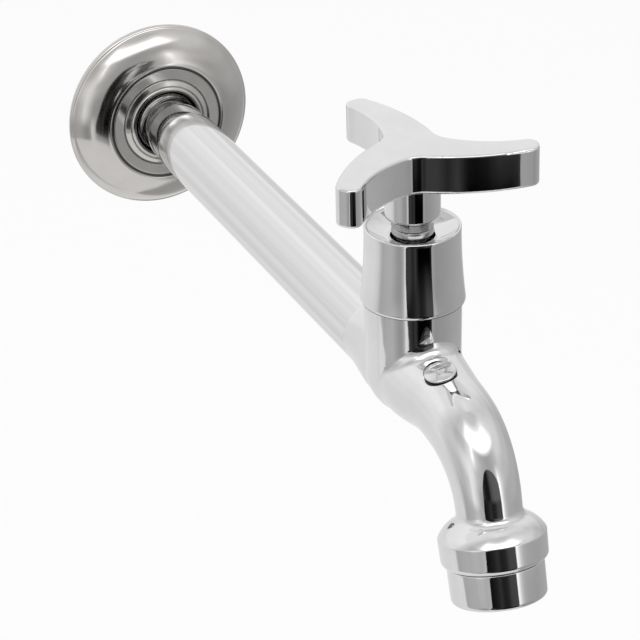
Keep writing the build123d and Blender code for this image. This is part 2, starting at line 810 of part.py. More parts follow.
def aerator_cage():
    # Plastic cup that stands on the housing's lip and carries the screens and the flow disc.
    outer = aerator_bore_radius - seat_clearance
    bottom = aerator_lip - aerator_length
    ledge = mouth_depth - aerator_length
    inner = outer - cage_wall
    cage = turned(*outline(
        (inner, bottom),
        (outer, bottom),
        (outer, aerator_neck_height),
        (inner, aerator_neck_height),
        (inner, ledge),
        (inner - cage_ledge, ledge),
        (inner - cage_ledge, ledge - 0.6),
        (inner, ledge - 0.6),
    ))
    return outlet_place * cage


def screen_height(index):
    return mouth_depth - aerator_length + index * (screen_thickness + screen_spacing)


def aerator_screens():
    # Two round screens, joined at the rim by a spacer.
    radius = aerator_bore_radius - cage_wall - 3 * seat_clearance
    screens = [disc(radius, screen_height(k), screen_height(k) + screen_thickness) for k in range(2)]
    spacer = ring(radius - 1.0, radius, screen_height(0) + screen_thickness, screen_height(1))
    return outlet_place * (screens[0] + spacer + screens[1])


def flow_disc():
    # Perforated disc that rests on the screens' rim and breaks the flow into jets.
    radius = aerator_bore_radius - cage_wall - 3 * seat_clearance
    base = screen_height(1) + screen_thickness
    top = aerator_neck_height - 1.0
    plate = disc(radius, top - flow_disc_thickness, top)
    plate += ring(radius - 0.8, radius, base, top)
    for k in range(flow_disc_holes):
        x, y = on_circle(flow_hole_circle, k * 360.0 / flow_disc_holes)
        plate -= Pos(x, y, 0) * disc(flow_hole_radius, top - flow_disc_thickness - 1, top + 1)
    return outlet_place * plate


pieces = [
    inlet_pipe,
    pipe_seal,
    escutcheon,
    escutcheon_grip_ring,
    valve_body,
    channel_plug,
    plug_washer,
    bonnet_cover,
    headwork_housing,
    headwork_gasket,
    spindle,
    spindle_o_rings,
    spindle_clip,
    slide_washer,
    moving_disc,
    fixed_disc,
    seat_seal,
    seal_support_ring,
    spline_adapter,
    handle_screw,
    handle,
    aerator_housing,
    aerator_gasket,
    aerator_cage,
    aerator_screens,
    flow_disc,
]

os.makedirs("parts", exist_ok=True)
for make in pieces:
    piece = make()
    export_step(piece, f"parts/{make.__name__}.step")
    print(make.__name__, round(piece.volume, 1))
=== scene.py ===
import cmath
import math

import bmesh
import bpy
import numpy as np
from mathutils import Matrix, Vector


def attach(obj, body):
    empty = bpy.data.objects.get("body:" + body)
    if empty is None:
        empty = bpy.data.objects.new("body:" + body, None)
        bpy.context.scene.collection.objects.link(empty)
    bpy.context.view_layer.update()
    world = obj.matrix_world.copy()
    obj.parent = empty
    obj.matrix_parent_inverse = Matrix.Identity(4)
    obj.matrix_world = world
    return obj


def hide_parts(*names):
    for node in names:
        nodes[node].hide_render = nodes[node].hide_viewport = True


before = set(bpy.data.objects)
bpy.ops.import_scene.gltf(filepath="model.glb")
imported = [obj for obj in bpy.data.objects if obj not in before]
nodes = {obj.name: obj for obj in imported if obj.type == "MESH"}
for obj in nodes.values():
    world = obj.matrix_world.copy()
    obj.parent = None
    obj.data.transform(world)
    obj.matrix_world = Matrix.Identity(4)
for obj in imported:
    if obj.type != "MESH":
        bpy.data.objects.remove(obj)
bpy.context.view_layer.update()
mm = 0.001
print("frame loaded,", len(nodes), "nodes")

# Where the tap's axes run, in mm: the leg comes straight out of the wall along -Y, the valve stands on it
valveReach = 196.0


def linearColour(hexCode):
    # sRGB hex to the linear colour that the shaders want
    channels = [int(hexCode[k:k + 2], 16) / 255 for k in (0, 2, 4)]
    return tuple(c / 12.92 if c <= 0.04045 else ((c + 0.055) / 1.055) ** 2.4 for c in channels) + (1.0,)


def addNode(tree, kind, inputs=None, **settings):
    # One node with its settings. Each input named gets a value, a socket, a node (its first output)
    # or a list of those
    node = tree.nodes.new(kind)
    for key, value in settings.items():
        setattr(node, key, value)
    for key, given in (inputs or {}).items():
        socket = node.inputs[key]
        for value in given if isinstance(given, list) else [given]:
            if isinstance(value, bpy.types.Node):
                value = value.outputs[0]
            if isinstance(value, bpy.types.NodeSocket):
                tree.links.new(value, socket)
            else:
                socket.default_value = value
    return node


def setStops(ramp, stops):
    # Fills a colour ramp from (position, hex colour) pairs
    elements = ramp.elements
    while len(elements) > 1:
        elements.remove(elements[-1])
    elements[0].position = stops[0][0]
    elements[0].color = linearColour(stops[0][1])
    for position, hexCode in stops[1:]:
        elements.new(position).color = linearColour(hexCode)


def blankMaterial(name):
    material = bpy.data.materials.new(name)
    material.use_nodes = True
    material.node_tree.nodes.clear()
    return material, material.node_tree


def addObject(name, data):
    added = bpy.data.objects.new(name, data)
    bpy.context.scene.collection.objects.link(added)
    return added


def blendRows(tree, across, height, rows, heights):
    # Colour ramps laid one above the other; in each range of height one goes over into the next
    ramps = []
    for stops in rows:
        ramps.append(addNode(tree, "ShaderNodeValToRGB", {0: across}))
        setStops(ramps[-1].color_ramp, stops)
    colour = ramps[0]
    for ramp, (low, high) in zip(ramps[1:], heights):
        inputs = {0: height, 1: low, 2: high}
        share = addNode(tree, "ShaderNodeMapRange", inputs, interpolation_type="SMOOTHSTEP")
        colour = addNode(tree, "ShaderNodeMix", {0: share, 6: colour, 7: ramp}, data_type="RGBA").outputs[2]
    return colour


def rotation(degrees, axis):
    return Matrix.Rotation(math.radians(degrees), 4, axis)


camera = {
    "location": (-0.307681, -0.845293, 0.393257),
    "azimuth": -23.322,
    "elevation": 27.729,
    "roll": -1.37,
    "lens": 167.06,
    "sensor": 36.0,
}


def makeCamera():
    bpy.context.scene.view_settings.view_transform = "Standard"
    data = bpy.data.cameras.new("photoCamera")
    data.lens = camera["lens"]
    data.sensor_width = camera["sensor"]
    data.sensor_fit = "HORIZONTAL"
    data.clip_start = 0.01
    lens = addObject("photoCamera", data)
    turn = rotation(camera["azimuth"], "Z") @ rotation(90 - camera["elevation"], "X")
    lens.matrix_world = Matrix.Translation(camera["location"]) @ turn @ rotation(camera["roll"], "Z")
    bpy.context.scene.camera = lens


# What stands round the tap, as bright as the chrome shows it. Each band of height has (azimuth in degrees,
# grey) stops and ends at 180 as it begins at -180; azimuth 0 looks along +X and -90 out from the wall.
# A grey is one channel's two hex digits.
bands = {
    "floor": [
        (-180, "a8"), (-150, "98"), (-136, "ac"), (-128, "c4"), (-118, "e0"), (-66, "da"), (-58, "9a"),
        (0, "9e"), (38, "a8"), (54, "d4"), (145, "d2"), (165, "b4"),
    ],
    "low": [
        (-180, "a6"), (-166, "a8"), (-150, "90"), (-143, "8e"), (-137, "a4"), (-132, "dc"), (-127, "c8"),
        (-118, "98"), (-80, "94"), (-71, "9a"), (-62, "8c"), (-40, "92"), (0, "9e"), (40, "a2"), (56, "d4"),
        (145, "d0"), (158, "c6"), (170, "a0"),
    ],
    "level": [
        (-180, "b2"), (-164, "c6"), (-157, "e4"), (-148, "d2"), (-140, "b4"), (-132, "9c"), (-120, "98"),
        (-84, "a0"), (-75, "b0"), (-71, "c0"), (-68, "fa"), (-64, "e8"), (-60, "c8"), (-53, "ae"),
        (-44, "a6"), (-12, "ab"), (24, "a9"), (34, "b2"), (48, "c8"), (120, "d6"), (148, "d6"), (160, "c0"),
    ],
    "middle": [
        (-180, "c4"), (-164, "da"), (-156, "e2"), (-148, "dc"), (-140, "c0"), (-132, "b2"), (-120, "a8"),
        (-100, "a0"), (-84, "a4"), (-76, "b4"), (-71, "d0"), (-67, "ff"), (-60, "dc"), (-52, "c2"),
        (-40, "b8"), (4, "b8"), (20, "b2"), (30, "c4"), (40, "d4"), (60, "de"), (130, "e2"), (150, "da"),
        (164, "c2"),
    ],
    "upper": [
        (-180, "b0"), (-164, "ba"), (-150, "dc"), (-141, "fc"), (-136, "e0"), (-131, "c4"), (-116, "aa"),
        (-92, "9c"), (-76, "a6"), (-60, "b4"), (-44, "cc"), (-12, "d0"), (20, "c2"), (36, "d8"), (66, "e0"),
        (100, "e4"), (148, "e6"), (164, "c8"),
    ],
    "softbox": [
        (-180, "ba"), (-166, "c8"), (-157, "f4"), (-150, "ff"), (-50, "ff"), (-38, "f2"), (-26, "d8"),
        (4, "c6"), (30, "d4"), (60, "c8"), (110, "da"), (150, "da"),
    ],
    "ceiling": [(-180, "c4"), (-90, "c0"), (-20, "bc"), (10, "d2"), (60, "dc"), (116, "d6")],
}

# The heights are where one band goes over into the next, in degrees above level. The strength is also
# that of the two cards below.
surround = {
    "heights": [(-46, -38), (-20, -6), (0, 14), (18, 34), (41, 48), (62, 78)],
    "strength": 1.25,
    "glare": 1.9,
    "glareFrom": 0.88,
    "light": 0.9,
}


def makeWorld():
    world = bpy.data.worlds.new("paleStudio")
    bpy.context.scene.world = world
    world.use_nodes = True
    tree = world.node_tree
    tree.nodes.clear()
    view = addNode(tree, "ShaderNodeTexCoord").outputs["Generated"]
    axes = addNode(tree, "ShaderNodeSeparateXYZ", {0: view}).outputs
    around = addNode(tree, "ShaderNodeMath", {0: axes["Y"], 1: axes["X"]}, operation="ARCTAN2")
    around = addNode(tree, "ShaderNodeMapRange", {0: around, 1: -math.pi, 2: math.pi})
    height = addNode(tree, "ShaderNodeMath", {0: axes["Z"]}, operation="ARCSINE")
    rows = []
    for stops in bands.values():
        closed = stops + [(180, stops[0][1])]
        rows.append([((azimuth + 180) / 360, grey * 3) for azimuth, grey in closed])
    heights = [(math.radians(low), math.radians(high)) for low, high in surround["heights"]]
    colour = blendRows(tree, around, height, rows, heights)
    # The softbox itself burns out, so that duller metal shows it white too
    glare = {0: colour, 1: surround["glareFrom"], 2: 1.0, 3: surround["strength"], 4: surround["glare"]}
    glare = addNode(tree, "ShaderNodeMapRange", glare)
    shown = addNode(tree, "ShaderNodeBackground", {0: colour, 1: glare})
    plain = linearColour("ffffff")
    light = addNode(tree, "ShaderNodeBackground", {0: plain, 1: surround["light"]})
    white = addNode(tree, "ShaderNodeBackground", {0: plain, 1: 1.0})
    path = addNode(tree, "ShaderNodeLightPath").outputs
    mirrored = {0: path["Is Glossy Ray"], 1: path["Is Transmission Ray"]}
    mirrored = addNode(tree, "ShaderNodeMath", mirrored, operation="MAXIMUM")
    mixed = addNode(tree, "ShaderNodeMixShader", {0: mirrored, 1: light, 2: shown})
    mixed = addNode(tree, "ShaderNodeMixShader", {0: path["Is Camera Ray"], 1: mixed, 2: white})
    addNode(tree, "ShaderNodeOutputWorld", {0: mixed})


def flatCard(name, corners, material):
    mesh = bpy.data.meshes.new(name)
    mesh.from_pydata(corners, [], [tuple(range(len(corners)))])
    mesh.materials.append(material)
    return addObject(name, mesh)


# To the camera a share of the floor is plain white; the rest of it takes the tap's soft shadow
floorPlan = {"height": -0.32, "half": 4.0, "whiteShare": 0.72, "colour": "f4f4f4"}


def makeFloor():
    material, tree = blankMaterial("matt white studio floor")
    diffuse = addNode(tree, "ShaderNodeBsdfDiffuse", {0: linearColour(floorPlan["colour"])})
    glow = addNode(tree, "ShaderNodeEmission", {0: linearColour("ffffff"), 1: 1.0})
    seen = addNode(tree, "ShaderNodeLightPath").outputs["Is Camera Ray"]
    share = addNode(tree, "ShaderNodeMath", {0: seen, 1: floorPlan["whiteShare"]}, operation="MULTIPLY")
    mixed = addNode(tree, "ShaderNodeMixShader", {0: share, 1: diffuse, 2: glow})
    addNode(tree, "ShaderNodeOutputMaterial", {0: mixed})
    half = floorPlan["half"]
    height = floorPlan["height"]
    sides = [(-half, -half), (half, -half), (half, half), (-half, half)]
    ground = flatCard("paleFloor", [(x, y, height) for x, y in sides], material)
    ground.visible_glossy = False


# The pale table top under the tap, seen only in the chrome; it ends 0.6 m from the foot of the leg
tableTop = {
    "height": -0.316,
    "reach": 0.594,
    "azimuths": (-185, -70),
    "steps": 24,
    "grey": "d2d2d2",
}


def onlyMirrored(card):
    card.visible_camera = False
    card.visible_diffuse = False
    card.visible_shadow = False


def makeTableTop():
    material, tree = blankMaterial("pale table top")
    grey = linearColour(tableTop["grey"])
    glow = addNode(tree, "ShaderNodeEmission", {0: grey, 1: surround["strength"]})
    addNode(tree, "ShaderNodeOutputMaterial", {0: glow})
    first, last = tableTop["azimuths"]
    steps = tableTop["steps"]
    reach = tableTop["reach"]
    height = tableTop["height"]
    corners = [(0.0, 0.0, height)]
    for k in range(steps + 1):
        angle = math.radians(first + (last - first) * k / steps)
        corners.append((reach * math.cos(angle), reach * math.sin(angle), height))
    onlyMirrored(flatCard("tableTop", corners, material))


# A black flag in front of the table, as in a product studio: it gives the chrome its dark bands.
# Outline in metres across and up; the three rows of (across, grey) stops go from its foot to its top
blackFlag = {
    "distance": -0.72,
    "half": 0.5,
    "outline": [
        (0.182, -0.345), (0.17, -0.2), (0.17, 0.13), (0.145, 0.175), (0.09, 0.222), (0.034, 0.25),
        (-0.03, 0.27), (-0.085, 0.279), (-0.14, 0.272), (-0.19, 0.252), (-0.23, 0.222), (-0.262, 0.189),
        (-0.3, 0.148), (-0.33, 0.108), (-0.348, 0.06), (-0.358, 0.0), (-0.365, -0.05), (-0.378, -0.12),
        (-0.43, -0.18), (-0.47, -0.24), (-0.47, -0.345),
    ],
    "foot": [
        (-0.43, "34"), (-0.331, "36"), (-0.249, "22"), (-0.186, "34"), (-0.14, "14"), (-0.118, "02"),
        (0.115, "02"), (0.155, "1c"), (0.182, "48"),
    ],
    "middle": [
        (-0.46, "0c"), (-0.318, "14"), (-0.23, "1e"), (-0.15, "2e"), (-0.083, "1c"), (-0.016, "24"),
        (0.05, "40"), (0.17, "44"),
    ],
    "top": [
        (-0.4, "50"), (-0.327, "3c"), (-0.26, "1a"), (-0.158, "14"), (-0.118, "2a"), (-0.095, "42"),
        (-0.017, "56"), (0.17, "5c"),
    ],
    "heights": [(-0.2, -0.13), (-0.03, 0.03)],
}


def makeBlackFlag():
    material, tree = blankMaterial("matt black flag")
    place = addNode(tree, "ShaderNodeTexCoord").outputs["Object"]
    axes = addNode(tree, "ShaderNodeSeparateXYZ", {0: place}).outputs
    half = blackFlag["half"]
    across = addNode(tree, "ShaderNodeMapRange", {0: axes["X"], 1: -half, 2: half})
    rows = [[(x + half, grey * 3) for x, grey in blackFlag[row]] for row in ("foot", "middle", "top")]
    colour = blendRows(tree, across, axes["Z"], rows, blackFlag["heights"])
    glow = addNode(tree, "ShaderNodeEmission", {0: colour, 1: surround["strength"]})
    addNode(tree, "ShaderNodeOutputMaterial", {0: glow})
    corners = [(x, blackFlag["distance"], z) for x, z in blackFlag["outline"]]
    onlyMirrored(flatCard("blackFlag", corners, material))


softboxes = {
    "topSoftbox": {"size": 0.56, "watts": 2.2, "place": (-0.048, -0.778, 0.953), "aim": (0, -0.23, 0)},
    "sideSoftbox": {"size": 1.0, "watts": 4.0, "place": (-1.2, 0.5, 1.3), "aim": (0, -0.1, 0)},
}


def makeLamps():
    # The chrome sees the softbox in the surround, so the lamps themselves stay out of its reflections
    for name, box in softboxes.items():
        data = bpy.data.lights.new(name, "AREA")
        data.shape = "SQUARE"
        data.size = box["size"]
        data.energy = box["watts"]
        lamp = addObject(name, data)
        lamp.visible_glossy = False
        aim = Vector(box["aim"]) - Vector(box["place"])
        turn = aim.to_track_quat("-Z", "Y").to_matrix().to_4x4()
        lamp.matrix_world = Matrix.Translation(box["place"]) @ turn


makeCamera()
makeWorld()
makeFloor()
makeTableTop()
makeBlackFlag()
makeLamps()
print("studio ready")


# Finishes. Every size in a dictionary is in mm on the real piece. A noise keeps mostly to the ranges here.
ranges = {"noise": (0.35, 0.65), "tone": (0.38, 0.62), "grain": (0.3, 0.7)}
# Patches of better and worse polish
polish = {"patch": 14.0, "detail": 3.0, "roughness": 0.6}


def metalFinish(spec):
    # A polished or plated metal: faint tone changes, uneven polish, the marks of how it was made, and rings
    # of painted shade where they are given
    material, tree = blankMaterial(spec["name"])
    place = addNode(tree, "ShaderNodeTexCoord").outputs["Object"]
    turned = addNode(tree, "ShaderNodeMapping", {0: place, 2: spec.get("turn", (0, 0, 0))})
    patch = 1 / (polish["patch"] * mm)
    inputs = {"Vector": place, "Scale": patch, "Detail": polish["detail"], "Roughness": polish["roughness"]}
    smudge = addNode(tree, "ShaderNodeTexNoise", inputs)
    tone = smudge
    normal = None
    for mark in spec["marks"]:
        scale = tuple(1 / (size * mm) for size in mark["size"])
        spread = addNode(tree, "ShaderNodeMapping", {0: turned, 3: scale})
        noise = addNode(tree, "ShaderNodeTexNoise", {"Vector": spread, "Scale": 1.0, "Detail": 1.0})
        inputs = {"Height": noise, "Distance": mark["height"] * mm, "Strength": 1.0}
        if normal is not None:
            inputs["Normal"] = normal
        normal = addNode(tree, "ShaderNodeBump", inputs)
        if mark.get("shaded"):
            tone = noise
    weak, strong = ranges["noise"]
    low, high = spec["roughness"]
    rough = addNode(tree, "ShaderNodeMapRange", {0: smudge, 1: weak, 2: strong, 3: low, 4: high})
    ramp = addNode(tree, "ShaderNodeValToRGB", {0: tone})
    setStops(ramp.color_ramp, list(zip(ranges["tone"], spec["colours"])))
    colour = ramp
    for ring in spec.get("paintedShadeRings", []):
        # Painted shade: rings round the leg's axis, in grooves and recesses where shade falls, are darkened
        # towards the ring's colour
        axes = addNode(tree, "ShaderNodeSeparateXYZ", {0: place}).outputs
        flat = addNode(tree, "ShaderNodeCombineXYZ", {0: axes["X"], 1: axes["Z"]})
        reach = addNode(tree, "ShaderNodeVectorMath", {0: flat}, operation="LENGTH").outputs["Value"]
        away = addNode(tree, "ShaderNodeMath", {0: reach, 1: ring["radius"] * mm}, operation="SUBTRACT")
        away = addNode(tree, "ShaderNodeMath", {0: away}, operation="ABSOLUTE")
        inner, outer = (half * mm for half in ring["half"])
        share = addNode(tree, "ShaderNodeMapRange", {0: away, 1: inner, 2: outer, 3: ring["share"], 4: 0.0})
        darker = linearColour(ring["colour"])
        colour = addNode(tree, "ShaderNodeMix", {0: share, 6: colour, 7: darker}, data_type="RGBA").outputs[2]
    inputs = {"Base Color": colour, "Metallic": 1.0, "Roughness": rough, "Normal": normal}
    surface = addNode(tree, "ShaderNodeBsdfPrincipled", inputs)
    addNode(tree, "ShaderNodeOutputMaterial", {0: surface})
    return material


def mouldedFinish(spec):
    # Rubber, ceramic or plastic: a fine grain in the surface and a little cloud in the colour
    material, tree = blankMaterial(spec["name"])
    place = addNode(tree, "ShaderNodeTexCoord").outputs["Object"]
    grain, cloud = (
        addNode(tree, "ShaderNodeTexNoise", {"Vector": place, "Scale": 1 / (spec[size] * mm), "Detail": 2.0})
        for size in ("grain", "cloud")
    )
    ramp = addNode(tree, "ShaderNodeValToRGB", {0: cloud})
    setStops(ramp.color_ramp, list(zip(ranges["noise"], spec["colours"])))
    low, high = spec["roughness"]
    weak, strong = ranges["grain"]
    rough = addNode(tree, "ShaderNodeMapRange", {0: grain, 1: weak, 2: strong, 3: low, 4: high})
    bump = {"Height": grain, "Distance": spec["height"] * mm, "Strength": 1.0}
    bump = addNode(tree, "ShaderNodeBump", bump)
    inputs = {"Base Color": ramp, "Roughness": rough, "IOR": spec["ior"], "Normal": bump}
    surface = addNode(tree, "ShaderNodeBsdfPrincipled", inputs)
    addNode(tree, "ShaderNodeOutputMaterial", {0: surface})
    return material


outletTilt = 15.0

# Chrome over a polished brass casting: the buffed skin keeps a slow wave, so straight reflections
# wander a little
castChrome = metalFinish({
    "name": "chromed brass casting",
    "colours": ("e5e5e6", "eaeaeb"),
    "roughness": (0.035, 0.06),
    "marks": [{"size": (7, 7, 7), "height": 0.02}],
})

# Chrome over turned brass: faint rings from the lathe run round the bell's axis, drawn coarser than the
# real 0.1 mm feed
turnedChrome = metalFinish({
    "name": "chromed turned brass",
    "colours": ("e5e5e6", "eaeaeb"),
    "roughness": (0.025, 0.05),
    "marks": [{"size": (60, 60, 0.35), "height": 0.0006}, {"size": (9, 9, 9), "height": 0.008}],
})

# The same lathe rings, square to the outlet's leaning axis
outletChrome = metalFinish({
    "name": "chromed turned brass of the outlet",
    "colours": ("e2e2e3", "e9e9ea"),
    "turn": (math.radians(outletTilt), 0, 0),
    "roughness": (0.03, 0.055),
    "marks": [{"size": (60, 60, 0.35), "height": 0.0006}],
})

# Chrome over a cold-headed plug: not buffed after heading, so it only shows soft patches of light and grey
plugChrome = metalFinish({
    "name": "chromed cold-headed brass",
    "colours": ("dededf", "e6e6e7"),
    "roughness": (0.12, 0.15),
    "marks": [{"size": (3, 3, 3), "height": 0.006}],
})

# Chromed drawn tube: the die leaves fine lines along it, which break a reflection into pale stripes
tubeChrome = metalFinish({
    "name": "chromed drawn tube",
    "colours": ("dedede", "ebebec"),
    "roughness": (0.05, 0.08),
    "marks": [
        {"size": (2.0, 600, 2.0), "height": 0.006, "shaded": True},
        {"size": (0.5, 120, 0.5), "height": 0.0004},
    ],
    # Painted shade: the pipe is darkened round its waist, where it sits in the cover plate's throat
    "paintedShadeRings": [{"radius": 8.0, "half": (1.0, 2.2), "share": 0.6, "colour": "5a5a5b"}],
})

# Chromed pressed sheet: brushed less before plating, so it mirrors softly and reads a warmer grey
sheetChrome = metalFinish({
    "name": "chromed pressed brass sheet",
    "colours": ("d2cfcc", "d8d5d2"),
    "roughness": (0.10, 0.13),
    "marks": [{"size": (5, 5, 5), "height": 0.02}, {"size": (0.5, 0.5, 0.5), "height": 0.0006}],
    # Painted shade: dark rings in the groove outside the raised ring, in the groove inside it, and in the
    # throat round the pipe
    "paintedShadeRings": [
        {"radius": 18.75, "half": (0.15, 0.85), "share": 0.8, "colour": "4a4846"},
        {"radius": 14.6, "half": (0.1, 0.55), "share": 0.5, "colour": "4a4846"},
        {"radius": 10.9, "half": (0.3, 1.1), "share": 0.8, "colour": "3c3a38"},
    ],
})

# Nickelled brass of the headwork: a plain turned part, greyer and duller than the chrome
nickelledBrass = metalFinish({
    "name": "nickelled turned brass",
    "colours": ("b0afae", "bfbebd"),
    "roughness": (0.14, 0.22),
    "marks": [{"size": (40, 40, 0.25), "height": 0.002}],
})

# Stainless steel of clip, screw and wires: bright but drawn and blasted, so it only glints
stainlessSteel = metalFinish({
    "name": "drawn stainless steel",
    "colours": ("a5a6a8", "b6b7b9"),
    "roughness": (0.2, 0.3),
    "marks": [{"size": (0.6, 0.6, 0.6), "height": 0.002}],
})

# Nitrile rubber, moulded: black with a dull bloom
blackRubber = mouldedFinish({
    "name": "moulded nitrile rubber",
    "colours": ("17171a", "222225"),
    "grain": 0.3,
    "cloud": 4.0,
    "height": 0.004,
    "roughness": (0.5, 0.65),
    "ior": 1.52,
})

# Alumina ceramic, sintered and lapped: cream white with a soft shine
whiteCeramic = mouldedFinish({
    "name": "lapped alumina ceramic",
    "colours": ("ece8de", "f2efe7"),
    "grain": 0.15,
    "cloud": 3.0,
    "height": 0.0006,
    "roughness": (0.16, 0.26),
    "ior": 1.77,
})

# Acetal, injection moulded: slightly milky white with a faint waxy shine
whitePlastic = mouldedFinish({
    "name": "moulded acetal",
    "colours": ("e9e9e6", "f1f1ee"),
    "grain": 0.4,
    "cloud": 5.0,
    "height": 0.003,
    "roughness": (0.3, 0.42),
    "ior": 1.48,
})
print("finishes ready")


def arcPoints(start, middle, end, count=10):
    # Points on the circle through three (radius, height) points, both ends included
    a, b, c = (complex(*point) for point in (start, middle, end))
    ratio = (c - a) / (b - a)
    centre = a - (a - b) * (ratio - abs(ratio) ** 2) / (2j * ratio.imag)
    arm = a - centre
    half = cmath.phase((b - centre) / arm)
    last = cmath.phase((c - centre) / arm)
    if half * last < 0:
        last += math.copysign(2 * math.pi, half)
    points = [centre + arm * cmath.rect(1, last * k / count) for k in range(count + 1)]
    return [(point.real, point.imag) for point in points]


# A rounding takes at most this share of a straight run. A guard point stands this far behind it, in mm
# or as a share of the run, where the run is long enough.
rounding = {"most": 0.45, "guard": 0.4, "guardShare": 0.2, "room": 2.5}


def roundedOutline(corners, steps=5):
    # Closed outline from (radius, height, rounding) corners. Each corner becomes a small arc, and each
    # straight run gets a guard point close to its ends, so that smooth shading stays flat between them.
    points = []
    for k, (x, y, amount) in enumerate(corners):
        if amount <= 0:
            points.append((x, y))
            continue
        here = Vector((x, y))
        before = Vector(corners[k - 1][:2]) - here
        after = Vector(corners[(k + 1) % len(corners)][:2]) - here
        cut = min(amount, rounding["most"] * before.length, rounding["most"] * after.length)
        entry = here + before.normalized() * cut
        leave = here + after.normalized() * cut
        arc = []
        for step in range(steps + 1):
            t = step / steps
            arc.append(entry * (1 - t) ** 2 + here * 2 * t * (1 - t) + leave * t**2)
        guards = []
        for end, run in ((entry, before), (leave, after)):
            reach = min(rounding["guard"], rounding["guardShare"] * run.length)
            guards.append([end + run.normalized() * reach] if run.length > rounding["room"] * cut else [])
        points += [(point.x, point.y) for point in guards[0] + arc + guards[1]]
    return points


def newTree(name, sockets):
    # A Geometry Nodes tree with its named inputs, and the outputs of its input node
    tree = bpy.data.node_groups.new(name, "GeometryNodeTree")
    for socket, kind in sockets.items():
        tree.interface.new_socket(socket, in_out="INPUT", socket_type="NodeSocket" + kind)
    tree.interface.new_socket("Geometry", in_out="OUTPUT", socket_type="NodeSocketGeometry")
    return tree, addNode(tree, "NodeGroupInput").outputs


def endTree(tree, shape, finish):
    # Every tree ends in real geometry with its finish on it
    shape = addNode(tree, "GeometryNodeRealizeInstances", {"Geometry": shape})
    shape = addNode(tree, "GeometryNodeSetMaterial", {"Geometry": shape, "Material": finish})
    addNode(tree, "NodeGroupOutput", {0: shape})
    return tree


def turningTree():
    # Spins a chain of points (radius, 0, height) round the Z axis into a closed skin
    tree, given = newTree("turnedPiece", {"Geometry": "Geometry", "Segments": "Int", "Finish": "Material"})
    chain = given["Geometry"]
    rows = addNode(tree, "GeometryNodeAttributeDomainSize", {0: chain}).outputs["Point Count"]
    columns = addNode(tree, "ShaderNodeMath", {0: given["Segments"], 1: 1.0}, operation="ADD")
    inputs = {"Size X": 1.0, "Size Y": 1.0, "Vertices X": columns, "Vertices Y": rows}
    grid = addNode(tree, "GeometryNodeMeshGrid", inputs).outputs["Mesh"]
    place = addNode(tree, "GeometryNodeInputPosition")
    cell = addNode(tree, "ShaderNodeSeparateXYZ", {0: place}).outputs
    angle = addNode(tree, "ShaderNodeMath", {0: cell["X"], 1: 2 * math.pi}, operation="MULTIPLY")
    last = addNode(tree, "ShaderNodeMath", {0: rows, 1: 1.0}, operation="SUBTRACT")
    row = cell["Y"]
    for operation, value in (("ADD", 0.5), ("MULTIPLY", last), ("ROUND", 0.0)):
        row = addNode(tree, "ShaderNodeMath", {0: row, 1: value}, operation=operation)
    inputs = {"Geometry": chain, "Value": place, "Index": row}
    point = addNode(tree, "GeometryNodeSampleIndex", inputs, data_type="FLOAT_VECTOR")
    swung = addNode(tree, "ShaderNodeVectorRotate", {"Vector": point, "Angle": angle}, rotation_type="Z_AXIS")
    skin = addNode(tree, "GeometryNodeSetPosition", {"Geometry": grid, "Position": swung})
    skin = addNode(tree, "GeometryNodeMergeByDistance", {"Geometry": skin, "Distance": 0.002 * mm})
    skin = addNode(tree, "GeometryNodeSetShadeSmooth", {"Geometry": skin, "Shade Smooth": True})
    return endTree(tree, skin, given["Finish"])


def runTree(piece, tree, values):
    # Adds the tree to the piece with its named inputs, and returns the mesh that it makes
    modifier = piece.modifiers.new(tree.name, "NODES")
    modifier.node_group = tree
    for socket in tree.interface.items_tree:
        if socket.in_out == "INPUT" and socket.name in values:
            modifier[socket.identifier] = values[socket.name]
    evaluated = piece.evaluated_get(bpy.context.evaluated_depsgraph_get())
    mesh = bpy.data.meshes.new_from_object(evaluated)
    piece.modifiers.remove(modifier)
    return mesh


def facingOut(mesh):
    # Turns the mesh's faces outwards, if its volume comes out negative
    work = bmesh.new()
    work.from_mesh(mesh)
    if work.calc_volume(signed=True) < 0:
        bmesh.ops.reverse_faces(work, faces=work.faces)
        work.to_mesh(mesh)
    work.free()


def grownPiece(name, points, tree, values, place):
    mesh = bpy.data.meshes.new(name)
    mesh.from_pydata(points, [], [])
    piece = addObject(name, mesh)
    piece.data = runTree(piece, tree, values)
    piece.data.transform(place)
    facingOut(piece.data)
    return piece


spinTree = turningTree()


def turnedPiece(name, outline, place, finish, segments=192):
    # outline: closed (radius, height) points in mm; place: where its axis stands
    points = [(r * mm, 0, z * mm) for r, z in outline + outline[:1]]
    return grownPiece(name, points, spinTree, {"Segments": segments, "Finish": finish}, place)


wallPlace = rotation(90, "X")   # +Z runs out from the wall
valvePlace = Matrix.Translation((0, -valveReach * mm, 0))

pipe = {
    "bore": 6.5,
    "threadCore": 9.35,
    "threadLength": 14.0,
    "leadIn": (0.6, 0.8),
    "runOut": 0.6,
    "shank": (10.3, 9.6),
    "flare": (0.45, 1.9),
    "waist": (8.8, 18.0),
    "waistRun": 2.5,
    "collar": (9.95, 27.0),
    "radius": 10.5,
    "shoulder": 1.4,
    "end": 172.0,
    "spigot": (9.0, 181.0),
}


